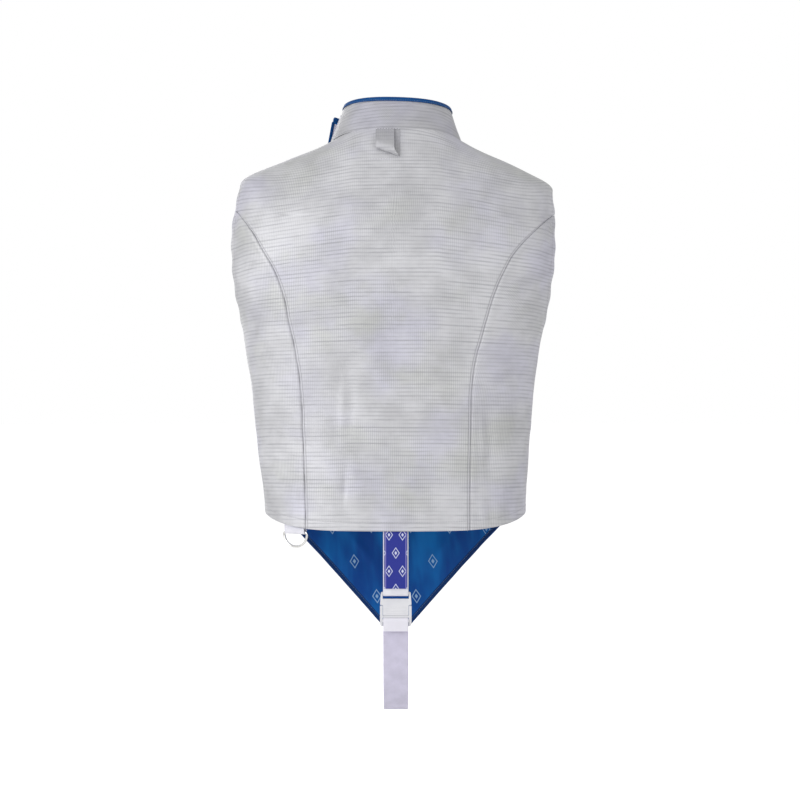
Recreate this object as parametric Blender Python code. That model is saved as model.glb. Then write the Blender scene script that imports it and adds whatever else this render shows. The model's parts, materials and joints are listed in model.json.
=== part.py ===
# Foil lame: the sleeveless metallic vest of a foil fencer, filled out as if worn.
# +Z is up, the wearer faces -Y and the wearer's left is +X. The origin lies midway
# between the neck points of the two shoulders. Angles run round the body from the
# middle of the back (0) over the wearer's left side (90 degrees) to the front (180).

import math

import bmesh
import bpy
import numpy as np
from mathutils import Matrix, Vector

# Driving dimensions, in metres
CLOTH = 0.0014              # metallic cloth with the interfacing behind it
LINING = 0.0010
SEAM_INSET = 0.0003         # how far a panel stops short of its seam line
TOUCH = 0.0003              # gap between pieces that lie on each other
HEM_LEVEL = -0.456
ARMHOLE_MIDDLE = -0.140
ARMHOLE_HALF_HEIGHT = 0.095
ARMHOLE_BACK = 0.058        # reach of the armhole towards the back
ARMHOLE_FRONT = 0.062       # reach of the armhole towards the front
RIGHT_SHOULDER_DROP = 0.006
POINT_HEIGHT = -0.634       # where the two sloping front edges would meet
POINT_SLOPE = 1.137
POINT_HALF_WIDTH = 0.0175
ZIP_X_AT_NECK = 0.068
ZIP_X_AT_HEM = 0.135
ZIP_HEM_LEVEL = -0.480
ZIP_GAP = 0.0028            # half the space that the teeth fill
CHAIN_HALF_WIDTH = 0.0025
CHAIN_THICKNESS = 0.0024
ZIP_TAPE_HALF_WIDTH = 0.012
LINING_TOP = -0.481
COLLAR_TOP_HALF_WIDTH = 0.0660
COLLAR_TOP_BACK = 0.0630
COLLAR_TOP_FRONT = 0.0600
COLLAR_TOP_BACK_Z = 0.0485
COLLAR_TOP_SIDE_Z = 0.0465
COLLAR_TOP_FRONT_Z = 0.0060
COLLAR_TILT = 0.030         # the top edge is higher on the wearer's left
COLLAR_SHIFT = -0.0020
COLLAR_CLOTH = 0.0018
BINDING = 0.0010
BINDING_DEPTH = 0.0045
FLAP_END_ANGLE = -250.0     # the overlap end, counted on round the front
FLAP_LIFT_LOW = 0.0095      # how far the free end stands off at its lower edge
FLAP_LIFT_HIGH = 0.0210     # and at its top edge
FLAP_END_BASE_Z = 0.0012
FLAP_END_TOP_Z = 0.0385
TAPE = 0.0012               # hook and loop tape
WEBBING = 0.0016
WEBBING_HALF_WIDTH = 0.015
LABEL = 0.0008
LABEL_HALF_WIDTH = 0.0148
STRAP_TOP_Z = -0.448
LABEL_TOP_Z = -0.466
LABEL_BOTTOM_Z = -0.5405
BUCKLE_HALF_WIDTH = 0.0187
BUCKLE_TILT = math.radians(4.0)
RING_X = 0.1240
RING_WIRE = 0.0014          # radius of the wire
RING_HALF_WIDTH = 0.0175    # to the middle of the wire
RING_DROP = 0.0186          # from the bar to the middle of the wire at the bottom
TAB_DROP = 0.0063           # the bar's depth below the hem

# Rings of the body from the bottom up. The level is a ring's height at the sides, and
# the rises say how much higher it lies at the middle of the back and of the front. The
# sway moves a ring towards the wearer's left.
RING_COLUMNS = ("name", "level", "back_rise", "front_rise", "half_width", "back",
                "front", "squareness", "sway")
RINGS = (
    ("point", -0.640, 0.0000, 0.000, 0.1620, 0.108, 0.100, 2.40, 0.0000),
    ("hem", -0.456, -0.0166, 0.000, 0.1615, 0.113, 0.108, 2.60, 0.0005),
    ("waist", -0.370, -0.0040, 0.000, 0.1690, 0.108, 0.108, 2.60, 0.0030),
    ("ribs", -0.290, 0.0000, 0.000, 0.1770, 0.113, 0.115, 2.70, 0.0040),
    ("armpit", -0.235, 0.0000, 0.000, 0.1855, 0.120, 0.122, 2.80, 0.0040),
    ("underarm", -0.190, 0.0000, 0.000, 0.1965, 0.123, 0.125, 2.90, 0.0036),
    ("chest", -0.150, 0.0000, -0.002, 0.2030, 0.125, 0.126, 3.00, 0.0034),
    ("blade", -0.115, -0.0060, -0.013, 0.2040, 0.122, 0.122, 2.95, 0.0030),
    ("yoke", -0.070, -0.0180, -0.031, 0.1975, 0.1150, 0.1130, 2.80, 0.0008),
    ("shoulder_edge", -0.0575, -0.0192, -0.0327, 0.1950, 0.1110, 0.1085, 2.70, 0.0),
    ("shoulder_tip", -0.045, -0.0200, -0.034, 0.1905, 0.106, 0.103, 2.60, -0.0010),
    ("shoulder", -0.0215, -0.0060, -0.0330, 0.1380, 0.092, 0.089, 2.40, -0.0010),
    ("neck_side", -0.0080, 0.0040, -0.0340, 0.1005, 0.083, 0.080, 2.30, -0.0005),
    ("neck", 0.000, 0.0090, -0.035, 0.0830, 0.078, 0.075, 2.20, -0.0005),
)

# Princess seams of the back: distance from the middle at each height
SEAM_COLUMNS = ("height", "left", "right")
SEAMS = (
    (-0.475, 0.1075, 0.0880),
    (-0.360, 0.1110, 0.0895),
    (-0.280, 0.1160, 0.0930),
    (-0.225, 0.1270, 0.1075),
    (-0.190, 0.1345, 0.1178),
    (-0.165, 0.1440, 0.1285),
    (-0.140, 0.1578, 0.1435),
    (-0.110, 0.1762, 0.1720),
    (-0.080, 0.2005, 0.2060),
)

# Soft folds of the cloth: a place on the back (y > 0) or front (y < 0), the half length
# along the fold, the half width across it, its depth and its lean from upright
FOLD_COLUMNS = ("name", "x", "z", "side", "half_length", "half_width", "depth", "lean")
FOLDS = (
    ("waist_left", 0.062, -0.305, 1, 0.050, 0.012, 0.0022, -6),
    ("waist_right", -0.113, -0.375, 1, 0.055, 0.013, 0.0024, 4),
    ("hem_left", 0.060, -0.425, 1, 0.035, 0.012, 0.0016, 3),
    ("blade_left", 0.110, -0.205, 1, 0.045, 0.020, 0.0018, 28),
    ("blade_right", -0.090, -0.225, 1, 0.050, 0.020, 0.0016, -24),
    ("belly_left", 0.070, -0.330, -1, 0.060, 0.014, 0.0022, 8),
    ("belly_right", -0.085, -0.350, -1, 0.055, 0.014, 0.0024, -7),
    ("chest_right", -0.120, -0.190, -1, 0.045, 0.018, 0.0020, 34),
    ("chest_left", 0.125, -0.200, -1, 0.042, 0.018, 0.0018, -30),
    ("point_fold", 0.020, -0.520, -1, 0.050, 0.016, 0.0020, 5),
)
FOLD_ROWS = [dict(zip(FOLD_COLUMNS, row)) for row in FOLDS]

MATERIALS = {
    "lame": ((0.62, 0.62, 0.66), 0.42, 0.75),
    "lining_cloth": ((0.012, 0.095, 0.30), 0.55, 0.0),
    "binding_cloth": ((0.01, 0.10, 0.36), 0.60, 0.0),
    "tape_cloth": ((0.80, 0.79, 0.86), 0.90, 0.0),
    "webbing_cloth": ((0.78, 0.77, 0.84), 0.85, 0.0),
    "label_cloth": ((0.035, 0.045, 0.33), 0.70, 0.0),
    "buckle_plastic": ((0.86, 0.86, 0.88), 0.40, 0.0),
    "ring_metal": ((0.80, 0.80, 0.80), 0.22, 1.0),
    "zip_tape_cloth": ((0.50, 0.50, 0.54), 0.85, 0.0),
    "zip_teeth": ((0.60, 0.60, 0.62), 0.35, 1.0),
    "zip_metal": ((0.66, 0.66, 0.68), 0.30, 1.0),
}


def clear_scene():
    for old in list(bpy.data.objects):
        bpy.data.objects.remove(old, do_unlink=True)


def material(name):
    colour, roughness, metallic = MATERIALS[name]
    made = bpy.data.materials.get(name) or bpy.data.materials.new(name)
    made.use_nodes = True
    shader = made.node_tree.nodes["Principled BSDF"]
    shader.inputs["Base Color"].default_value = (*colour, 1.0)
    shader.inputs["Roughness"].default_value = roughness
    shader.inputs["Metallic"].default_value = metallic
    return made


def make_object(name, mesh_data, finish, smooth_angle=40.0):
    mesh = bpy.data.meshes.new(name)
    bmesh.ops.recalc_face_normals(mesh_data, faces=mesh_data.faces)
    mesh_data.to_mesh(mesh)
    mesh_data.free()
    mesh.shade_smooth()
    mesh.set_sharp_from_angle(angle=math.radians(smooth_angle))
    made = bpy.data.objects.new(name, mesh)
    made.data.materials.append(material(finish))
    bpy.context.collection.objects.link(made)
    return made


# The smooth body that every panel lies on

def column(table, columns, name):
    place = columns.index(name)
    return np.array([row[place] for row in table], dtype=float)


def smooth_value(knots, values, at):
    """Value of a smooth curve through the knots."""
    slopes = np.gradient(values, knots)
    place = int(np.clip(np.searchsorted(knots, at) - 1, 0, len(knots) - 2))
    span = knots[place + 1] - knots[place]
    t = (at - knots[place]) / span
    t = min(max(t, 0.0), 1.0)
    first = (1 + 2 * t) * (1 - t) ** 2 * values[place]
    second = t * (1 - t) ** 2 * span * slopes[place]
    third = t * t * (3 - 2 * t) * values[place + 1]
    fourth = t * t * (t - 1) * span * slopes[place + 1]
    return first + second + third + fourth


RING_LEVELS = column(RINGS, RING_COLUMNS, "level")
RING_VALUES = {name: column(RINGS, RING_COLUMNS, name) for name in RING_COLUMNS[2:]}
ring_cache = {}


def ring_at(level):
    key = round(level, 7)
    if key not in ring_cache:
        ring_cache[key] = {name: smooth_value(RING_LEVELS, values, level)
                           for name, values in RING_VALUES.items()}
    return ring_cache[key]


def smooth_step(value, low, high):
    t = min(max((value - low) / (high - low), 0.0), 1.0)
    return t * t * (3 - 2 * t)


def bare_point(level, angle):
    """Point of the body without folds."""
    ring = ring_at(level)
    sine = math.sin(angle)
    cosine = math.cos(angle)
    power = 2.0 / ring["squareness"]
    side = "back" if cosine >= 0 else "front"
    x = ring["half_width"] * math.copysign(abs(sine) ** power, sine)
    y = ring[side] * math.copysign(abs(cosine) ** power, cosine)
    z = level + ring[side + "_rise"] * (1.0 - sine ** 4)
    z -= RIGHT_SHOULDER_DROP * smooth_step(-x, 0.09, 0.19) * smooth_step(level, -0.16, -0.05)
    return Vector((x + ring["sway"], y, z))


def fold_depth(point):
    total = 0.0
    for fold in FOLD_ROWS:
        if point.y * fold["side"] <= 0:
            continue
        turn = math.radians(fold["lean"])
        dx = point.x - fold["x"]
        dz = point.z - fold["z"]
        along = (dz * math.cos(turn) + dx * math.sin(turn)) / fold["half_length"]
        across = (dx * math.cos(turn) - dz * math.sin(turn)) / fold["half_width"]
        total += fold["depth"] * math.exp(-along ** 2 - across ** 2)
    return total


def body_normal(level, angle):
    step = 0.002
    lower = max(level - step, RING_LEVELS[0])
    upper = min(level + step, RING_LEVELS[-1])
    round_body = bare_point(level, angle + 0.02) - bare_point(level, angle - 0.02)
    up_body = bare_point(upper, angle) - bare_point(lower, angle)
    return up_body.cross(round_body).normalized()


def body_point(level, angle, lift=0.0):
    """Point on the outer face of the cloth, moved out by lift."""
    bare = bare_point(level, angle)
    return bare + body_normal(level, angle) * (lift - fold_depth(bare))


def spread_angles(level, start, stop, count, inset_start, inset_stop):
    """Angles that lie at even distances along a ring between two edges."""
    samples = np.linspace(start, stop, 121)
    points = [bare_point(level, angle) for angle in samples]
    steps = [0.0] + [(b - a).length for a, b in zip(points, points[1:])]
    lengths = np.cumsum(steps)
    targets = np.linspace(inset_start, lengths[-1] - inset_stop, count)
    return np.interp(targets, lengths, samples)


def angle_of_x(level, x, side):
    """Angle at which the ring passes x, which is negative on the wearer's right."""
    ring = ring_at(level)
    offset = x - ring["sway"]
    share = min(abs(offset) / ring["half_width"], 1.0)
    angle = math.asin(share ** (ring["squareness"] / 2.0))
    angle = angle if side == "back" else math.pi - angle
    return math.copysign(angle, offset)


# Edges of the panels

SEAM_HEIGHTS = column(SEAMS, SEAM_COLUMNS, "height")
SEAM_X = {name: column(SEAMS, SEAM_COLUMNS, name) for name in SEAM_COLUMNS[1:]}


def seam_angle(level, hand):
    """Angle of a princess seam, counted from the middle of the back to either side."""
    sign = 1 if hand == "left" else -1
    angle = angle_of_x(level, sign * 0.12, "back")
    for _ in range(12):
        height = bare_point(level, angle).z
        x = smooth_value(SEAM_HEIGHTS, SEAM_X[hand], height)
        angle = angle_of_x(level, sign * x, "back")
    return abs(angle)


def armhole_angle(level, side):
    """Angle of the armhole's edge, or of the side and shoulder seams beyond it."""
    share = (level - ARMHOLE_MIDDLE) / ARMHOLE_HALF_HEIGHT
    if abs(share) >= 1.0:
        return math.pi / 2
    reach = ARMHOLE_BACK if side == "back" else ARMHOLE_FRONT
    y = reach * math.sqrt(1.0 - share * share)
    ring = ring_at(level)
    cosine = (y / ring[side]) ** (ring["squareness"] / 2.0)
    angle = math.acos(cosine)
    return angle if side == "back" else math.pi - angle


def point_edge_x(level):
    return max((level - POINT_HEIGHT) / POINT_SLOPE, POINT_HALF_WIDTH)


def zip_x(level):
    return ZIP_X_AT_NECK + (ZIP_X_AT_HEM - ZIP_X_AT_NECK) * level / ZIP_HEM_LEVEL


def zip_angle(level):
    return angle_of_x(level, zip_x(level), "front")


def seam_meets_armhole(hand, width):
    """Level at which the side panel has narrowed to the width."""
    low = ARMHOLE_MIDDLE
    high = ARMHOLE_MIDDLE + ARMHOLE_HALF_HEIGHT
    sign = 1 if hand == "left" else -1
    for _ in range(40):
        middle = (low + high) / 2
        seam = bare_point(middle, sign * seam_angle(middle, hand))
        edge = bare_point(middle, sign * armhole_angle(middle, "back"))
        if abs(edge.x) - abs(seam.x) > width:
            low = middle
        else:
            high = middle
    return low


TIP_LEVEL = {hand: seam_meets_armhole(hand, 0.003) for hand in ("left", "right")}
LOW_LEVELS = list(np.linspace(HEM_LEVEL, ARMHOLE_MIDDLE - ARMHOLE_HALF_HEIGHT, 11))
ARMHOLE_LEVELS = [ARMHOLE_MIDDLE - ARMHOLE_HALF_HEIGHT * math.cos(math.pi * k / 12)
                  for k in range(1, 13)]
SHOULDER_LEVELS = list(np.linspace(ARMHOLE_MIDDLE + ARMHOLE_HALF_HEIGHT, 0.0, 6))[1:]
POINT_LEVELS = list(np.linspace(POINT_HEIGHT + POINT_SLOPE * POINT_HALF_WIDTH,
                                ZIP_HEM_LEVEL - 0.002, 8))
POINT_LEVELS += [ZIP_HEM_LEVEL + 0.002, HEM_LEVEL - 0.006]
BODY_LEVELS = sorted(LOW_LEVELS + ARMHOLE_LEVELS + SHOULDER_LEVELS
                     + list(TIP_LEVEL.values()))


# Solids from rows of points

def add_grid(mesh_data, rows):
    return [[mesh_data.verts.new(point) for point in row] for row in rows]


def shell(name, outer, inner, finish):
    """Closed wall between an outer and an inner grid of points."""
    mesh_data = bmesh.new()
    out = add_grid(mesh_data, outer)
    into = add_grid(mesh_data, inner)
    last_row = len(out) - 1
    last = len(out[0]) - 1
    for i in range(last_row):
        for j in range(last):
            mesh_data.faces.new((out[i][j], out[i][j + 1], out[i + 1][j + 1], out[i + 1][j]))
            mesh_data.faces.new((into[i][j], into[i + 1][j], into[i + 1][j + 1], into[i][j + 1]))
    for i in range(last_row):
        for j in (0, last):
            mesh_data.faces.new((out[i][j], out[i + 1][j], into[i + 1][j], into[i][j]))
    for j in range(last):
        for i in (0, last_row):
            mesh_data.faces.new((out[i][j], into[i][j], into[i][j + 1], out[i][j + 1]))
    return make_object(name, mesh_data, finish)


def sweep(name, sections, finish, closed=False):
    """Closed body through a row of sections that all have the same number of points."""
    mesh_data = bmesh.new()
    rings = add_grid(mesh_data, sections)
    sides = len(rings[0])
    count = len(rings)
    for i in range(count if closed else count - 1):
        after = rings[(i + 1) % count]
        for j in range(sides):
            k = (j + 1) % sides
            mesh_data.faces.new((rings[i][j], rings[i][k], after[k], after[j]))
    if not closed:
        mesh_data.faces.new(rings[0])
        mesh_data.faces.new(rings[-1])
    return make_object(name, mesh_data, finish)


def panel(name, levels, start, stop, columns, finish, lift=0.0, thickness=CLOTH):
    """Wall on the body between two edges, each a function of the level."""
    outer = []
    inner = []
    for level in levels:
        angles = spread_angles(level, start(level), stop(level), columns,
                               SEAM_INSET, SEAM_INSET)
        outer.append([body_point(level, angle, lift) for angle in angles])
        inner.append([body_point(level, angle, lift - thickness) for angle in angles])
    return shell(name, outer, inner, finish)


# Panels of the vest

def back_edge(level, hand):
    """Outer edge of the back panel."""
    if level > TIP_LEVEL[hand]:
        return armhole_angle(level, "back")
    return seam_angle(level, hand)


BACK_COLUMNS = 19
FRONT_COLUMNS = 19
SIDE_COLUMNS = 5
FRONT_SIDE_COLUMNS = 7
LEVEL_EASE = 0.001          # levels this close to the hem count as above it
HEM_CORNER_DROPS = (0.012, 0.006)


def make_back():
    panel("back_panel", BODY_LEVELS, lambda level: -back_edge(level, "right"),
          lambda level: back_edge(level, "left"), BACK_COLUMNS, "lame")


def make_back_sides():
    for hand, sign in (("left", 1), ("right", -1)):
        levels = [level for level in BODY_LEVELS if level <= TIP_LEVEL[hand]]
        panel("back_side_" + hand, levels,
              lambda level: sign * seam_angle(level, hand),
              lambda level: sign * armhole_angle(level, "back"), SIDE_COLUMNS, "lame")


def front_start(level):
    """Wearer's left edge of the front panel: the zip, or the sloping edge below it."""
    edge = angle_of_x(level, point_edge_x(level), "front")
    beside_zip = angle_of_x(level, zip_x(level) - ZIP_GAP, "front")
    if level < ZIP_HEM_LEVEL:
        return edge
    return max(beside_zip, edge)


def front_stop(level):
    """Wearer's right edge of the front panel."""
    if level < HEM_LEVEL - LEVEL_EASE:
        return 2 * math.pi + angle_of_x(level, -point_edge_x(level), "front")
    return 2 * math.pi - armhole_angle(level, "front")


def make_front():
    levels = POINT_LEVELS + BODY_LEVELS
    panel("front_panel", levels, front_start, front_stop, FRONT_COLUMNS, "lame")


def side_start(level):
    """Edge of the left front side panel at the side seam, armhole or shoulder."""
    if level < HEM_LEVEL - LEVEL_EASE:
        return angle_of_x(level, point_edge_x(level), "front")
    return armhole_angle(level, "front")


def side_stop(level):
    return angle_of_x(level, zip_x(level) + ZIP_GAP, "front")


def make_front_side():
    levels = [HEM_LEVEL - drop for drop in HEM_CORNER_DROPS] + BODY_LEVELS
    panel("front_side_left", levels, side_start, side_stop, FRONT_SIDE_COLUMNS, "lame")


def make_front_lining():
    levels = [level for level in POINT_LEVELS if level <= LINING_TOP]
    panel("front_lining", levels, front_start, front_stop, FRONT_COLUMNS,
          "lining_cloth", lift=-CLOTH - TOUCH, thickness=LINING)


# Zip of the wearer's left front

CHAIN_LEVELS = (-0.470, -0.018)
TAPE_LEVELS = (-0.463, -0.003)
ZIP_LEVELS = sorted(list(np.linspace(*CHAIN_LEVELS, 27)) + list(TAPE_LEVELS))


def zip_strip(name, half_width, ends, lift, thickness, columns, finish):
    levels = [level for level in ZIP_LEVELS if ends[0] <= level <= ends[1]]
    outer = []
    inner = []
    for level in levels:
        middle = zip_x(level)
        start = angle_of_x(level, middle + half_width, "front")
        stop = angle_of_x(level, middle - half_width, "front")
        angles = spread_angles(level, start, stop, columns, 0.0, 0.0)
        outer.append([body_point(level, angle, lift) for angle in angles])
        inner.append([body_point(level, angle, lift - thickness) for angle in angles])
    shell(name, outer, inner, finish)


TAPE_DEPTH = 0.0008         # clears the flats of the cloth walls beside it
CHAIN_EASE = 0.0002         # the strip of teeth is this much narrower on each side
STEM_EASE = 0.0004
SLIDER_SEAT = TOUCH + 0.0002        # underside of the plate over the cloth
SLIDER_BEVEL = (0.0008, 0.0005)     # across and down
SLIDER_LEVEL = -0.012
SLIDER_HALF_LENGTH = 0.0050
SLIDER_PLATE = 0.0018
SLIDER_HALF_WIDTH = 0.0045
BAIL_REACH = 0.0026
BAIL_WIRE = 0.0005
BAIL_HALF_WIDTH = 0.0007
BAIL_SINK = 0.0004          # how deep its feet stand in the plate
BAIL_RISE = 1.5             # height of the bail for its reach along the zip
PULL_BAR_HEIGHT = 0.0015
PULL_BAR_RADIUS = 0.0006
PULL_HALF_WIDTH = 0.0032
PULL_LENGTH = 0.022
PULL_CORNER = (0.0015, 0.0020)      # across and along
PULL_EYE = 0.0048           # length of the eye's window
PULL_FRAME = 0.0012         # metal beside the window
PULL_TOP_TAPER = 0.0004


def zip_frame():
    """Place of the slider: across the zip, up along it and out from the cloth."""
    step = 0.006
    low = body_point(SLIDER_LEVEL - step, zip_angle(SLIDER_LEVEL - step))
    high = body_point(SLIDER_LEVEL + step, zip_angle(SLIDER_LEVEL + step))
    out = body_normal(SLIDER_LEVEL, zip_angle(SLIDER_LEVEL))
    up = (high - low).normalized()
    across = up.cross(out).normalized()
    out = across.cross(up).normalized()
    middle = body_point(SLIDER_LEVEL, zip_angle(SLIDER_LEVEL))
    return Matrix((across, up, out)).transposed().to_4x4(), middle


def place(mesh_data, turn, middle):
    bmesh.ops.transform(mesh_data, matrix=Matrix.Translation(middle) @ turn,
                        verts=mesh_data.verts)


def add_prism(mesh_data, outline, low, high):
    """Prism over an outline in the XY plane."""
    bottom = [mesh_data.verts.new((x, y, low)) for x, y in outline]
    top = [mesh_data.verts.new((x, y, high)) for x, y in outline]
    count = len(outline)
    for i in range(count):
        k = (i + 1) % count
        mesh_data.faces.new((bottom[i], bottom[k], top[k], top[i]))
    mesh_data.faces.new(bottom)
    mesh_data.faces.new(top)


def framed_prism(mesh_data, outline, window, low, high):
    """Prism over an outline with a window, which has as many points as the outline."""
    loops = [[mesh_data.verts.new((x, y, z)) for x, y in points]
             for z in (low, high) for points in (outline, window)]
    outer_low, inner_low, outer_high, inner_high = loops
    count = len(outline)
    for i in range(count):
        k = (i + 1) % count
        mesh_data.faces.new((outer_low[i], outer_low[k], inner_low[k], inner_low[i]))
        mesh_data.faces.new((outer_high[i], outer_high[k], inner_high[k], inner_high[i]))
        mesh_data.faces.new((outer_low[i], outer_low[k], outer_high[k], outer_high[i]))
        mesh_data.faces.new((inner_low[i], inner_low[k], inner_high[k], inner_high[i]))


def make_zip():
    deep = -CLOTH - TAPE_DEPTH
    zip_strip("zip_tape", ZIP_TAPE_HALF_WIDTH, TAPE_LEVELS, deep, LINING, 5,
              "zip_tape_cloth")
    zip_strip("zip_chain", CHAIN_HALF_WIDTH - CHAIN_EASE, CHAIN_LEVELS,
              deep + TOUCH + CHAIN_THICKNESS, CHAIN_THICKNESS, 2, "zip_teeth")
    make_slider()
    make_pull()


def make_slider():
    """Slider: a stem between the cloth edges, a plate over them and a bail."""
    turn, middle = zip_frame()
    w = SLIDER_HALF_WIDTH
    stem = CHAIN_HALF_WIDTH - STEM_EASE
    foot = -CLOTH + STEM_EASE
    face = SLIDER_SEAT
    top = face + SLIDER_PLATE
    across, down = SLIDER_BEVEL
    mesh_data = bmesh.new()
    outline = ((-stem, foot), (stem, foot), (stem, face), (w, face), (w, top - down),
               (w - across, top), (-w + across, top), (-w, top - down), (-w, face),
               (-stem, face))
    rows = [[(x, y, z) for x, z in outline] for y in (-SLIDER_HALF_LENGTH, SLIDER_HALF_LENGTH)]
    rings = add_grid(mesh_data, rows)
    count = len(outline)
    for i in range(count):
        k = (i + 1) % count
        mesh_data.faces.new((rings[0][i], rings[0][k], rings[1][k], rings[1][i]))
    mesh_data.faces.new(rings[0])
    mesh_data.faces.new(rings[1])
    place(mesh_data, turn, middle)
    body = make_object("zip_slider", mesh_data, "zip_metal")
    bail = bmesh.new()
    foot = top - BAIL_SINK
    path = [Vector((0.0, BAIL_REACH * math.cos(math.pi * k / 8),
                    foot + BAIL_REACH * BAIL_RISE * math.sin(math.pi * k / 8)))
            for k in range(9)]
    rings = []
    for k, point in enumerate(path):
        out = Vector((0.0, math.cos(math.pi * k / 8), math.sin(math.pi * k / 8)))
        ring = [point + out * BAIL_WIRE * a + Vector((BAIL_HALF_WIDTH * b, 0, 0))
                for a, b in ((1, 1), (1, -1), (-1, -1), (-1, 1))]
        rings.append([bail.verts.new(corner) for corner in ring])
    for a, b in zip(rings, rings[1:]):
        for i in range(4):
            k = (i + 1) % 4
            bail.faces.new((a[i], a[k], b[k], b[i]))
    bail.faces.new(rings[0])
    bail.faces.new(rings[-1])
    place(bail, turn, middle)
    guide = make_object("bail_guide", bail, "zip_metal")
    guide.hide_render = True
    guide.display_type = "WIRE"
    union = body.modifiers.new("bail", "BOOLEAN")
    union.operation = "UNION"
    union.solver = "EXACT"
    union.object = guide


def make_pull():
    """Pull tab: an eye round its bar, then a long rounded plate."""
    turn, middle = zip_frame()
    top = SLIDER_SEAT + SLIDER_PLATE
    axis = middle + turn.to_3x3() @ Vector((0.0, 0.0, top + PULL_BAR_HEIGHT))
    w = PULL_HALF_WIDTH
    bar = PULL_BAR_RADIUS
    eye = PULL_EYE
    across, along = PULL_CORNER
    top_w = w - PULL_TOP_TAPER
    outline = ((-w, -PULL_LENGTH + along), (-w + across, -PULL_LENGTH),
               (w - across, -PULL_LENGTH), (w, -PULL_LENGTH + along),
               (w, -eye), (top_w, bar), (-top_w, bar), (-w, -eye))
    inner = w - PULL_FRAME
    window = ((-inner + 0.0003, -eye), (-inner + 0.0008, -eye - 0.0003),
              (inner - 0.0008, -eye - 0.0003), (inner - 0.0003, -eye),
              (inner, -eye + 0.0006), (inner, -bar), (-inner, -bar), (-inner, -eye + 0.0006))
    mesh_data = bmesh.new()
    framed_prism(mesh_data, outline, window, -bar, bar)
    bmesh.ops.transform(mesh_data, matrix=turn, verts=mesh_data.verts)
    pull = make_object("zip_pull", mesh_data, "zip_metal")
    pull.location = axis


# Stand collar with its overlap end

COLLAR_START = 126.0
FLAP_START_ANGLE = -205.0   # where the overlap begins to lift
COLLAR_SEAT = 0.0004        # height of the collar's lower edge over the neck ring
COLLAR_COLUMNS = 45
FLAP_BINDING_SHARES = (0.02, 0.86)
HOOK_TAPE_SHARES = (0.10, 0.50, 0.82)
LOOP_TAPE_SHARES = (0.15, 0.50, 0.80)


def ring_weight(angle):
    return 1.0 - math.sin(angle) ** 4


def flap_share(degrees):
    """0 on the collar, 1 at the free end of the overlap."""
    share = (FLAP_START_ANGLE - degrees) / (FLAP_START_ANGLE - FLAP_END_ANGLE)
    return min(max(share, 0.0), 1.0)


def collar_point(degrees, share, lift):
    """Point of the collar: share 0 at the neck seam, 1 at the top edge."""
    angle = math.radians(degrees)
    sine = math.sin(angle)
    cosine = math.cos(angle)
    neck = ring_at(0.0)
    power = 2.0 / neck["squareness"]
    back = cosine >= 0
    depth_low = neck["back"] if back else neck["front"]
    depth_high = COLLAR_TOP_BACK if back else COLLAR_TOP_FRONT
    low_z = (neck["back_rise"] if back else neck["front_rise"]) * ring_weight(angle)
    edge_z = COLLAR_TOP_BACK_Z if back else COLLAR_TOP_FRONT_Z
    top_z = COLLAR_TOP_SIDE_Z + (edge_z - COLLAR_TOP_SIDE_Z) * ring_weight(angle)
    low_z += COLLAR_SEAT
    flap = flap_share(degrees)
    low_z += (FLAP_END_BASE_Z - low_z) * flap ** 2
    top_z += (FLAP_END_TOP_Z - top_z) * flap ** 2
    width = neck["half_width"] + (COLLAR_TOP_HALF_WIDTH - neck["half_width"]) * share
    depth = depth_low + (depth_high - depth_low) * share
    round_x = math.copysign(abs(sine) ** power, sine)
    round_y = math.copysign(abs(cosine) ** power, cosine)
    out = Vector((round_x / width, round_y / depth, 0.0)).normalized()
    z = low_z + (top_z - low_z) * share
    z += COLLAR_TILT * round_x * width * share
    x = width * round_x + COLLAR_SHIFT * share
    lift += (FLAP_LIFT_LOW + (FLAP_LIFT_HIGH - FLAP_LIFT_LOW) * share) * flap ** 1.3
    return Vector((x, depth * round_y, z)) + out * lift


def collar_strip(name, degrees, shares, lift, thickness, finish):
    outer = [[collar_point(d, s, lift) for d in degrees] for s in shares]
    inner = [[collar_point(d, s, lift - thickness) for d in degrees] for s in shares]
    shell(name, outer, inner, finish)


def binding_section(at_edge, into_cloth, out):
    """Folded strip round an edge, open towards the cloth."""
    near = TOUCH
    far = TOUCH + BINDING
    behind = COLLAR_CLOTH + TOUCH + LINING
    corners = ((far, -BINDING_DEPTH), (far, far), (-behind - far, far),
               (-behind - far, -BINDING_DEPTH), (-behind - near, -BINDING_DEPTH),
               (-behind - near, near), (near, near), (near, -BINDING_DEPTH))
    return [at_edge + out * a - into_cloth * b for a, b in corners]


def make_collar():
    """Collar, its lining and binding, hook tape in the overlap, loop tape under it."""
    degrees = list(np.linspace(COLLAR_START, FLAP_END_ANGLE, COLLAR_COLUMNS))
    shares = (0.0, 0.5, 1.0)
    behind = -COLLAR_CLOTH - TOUCH
    collar_strip("collar", degrees, shares, 0.0, COLLAR_CLOTH, "lame")
    collar_strip("collar_lining", degrees, shares, behind, LINING, "lining_cloth")
    sections = []
    for d in degrees[:-1]:
        edge = collar_point(d, 1.0, 0.0)
        down = (collar_point(d, 0.9, 0.0) - edge).normalized()
        out = (collar_point(d, 1.0, 0.001) - edge).normalized()
        sections.append(binding_section(edge, down, out))
    sweep("collar_binding", sections, "binding_cloth")
    make_flap_binding(degrees[-2])
    collar_strip("flap_hook_tape", degrees[-4:-1], HOOK_TAPE_SHARES,
                 behind - LINING - TOUCH, TAPE, "tape_cloth")
    collar_strip("collar_loop_tape", degrees[1:5], LOOP_TAPE_SHARES, TOUCH + TAPE, TAPE,
                 "tape_cloth")


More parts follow.
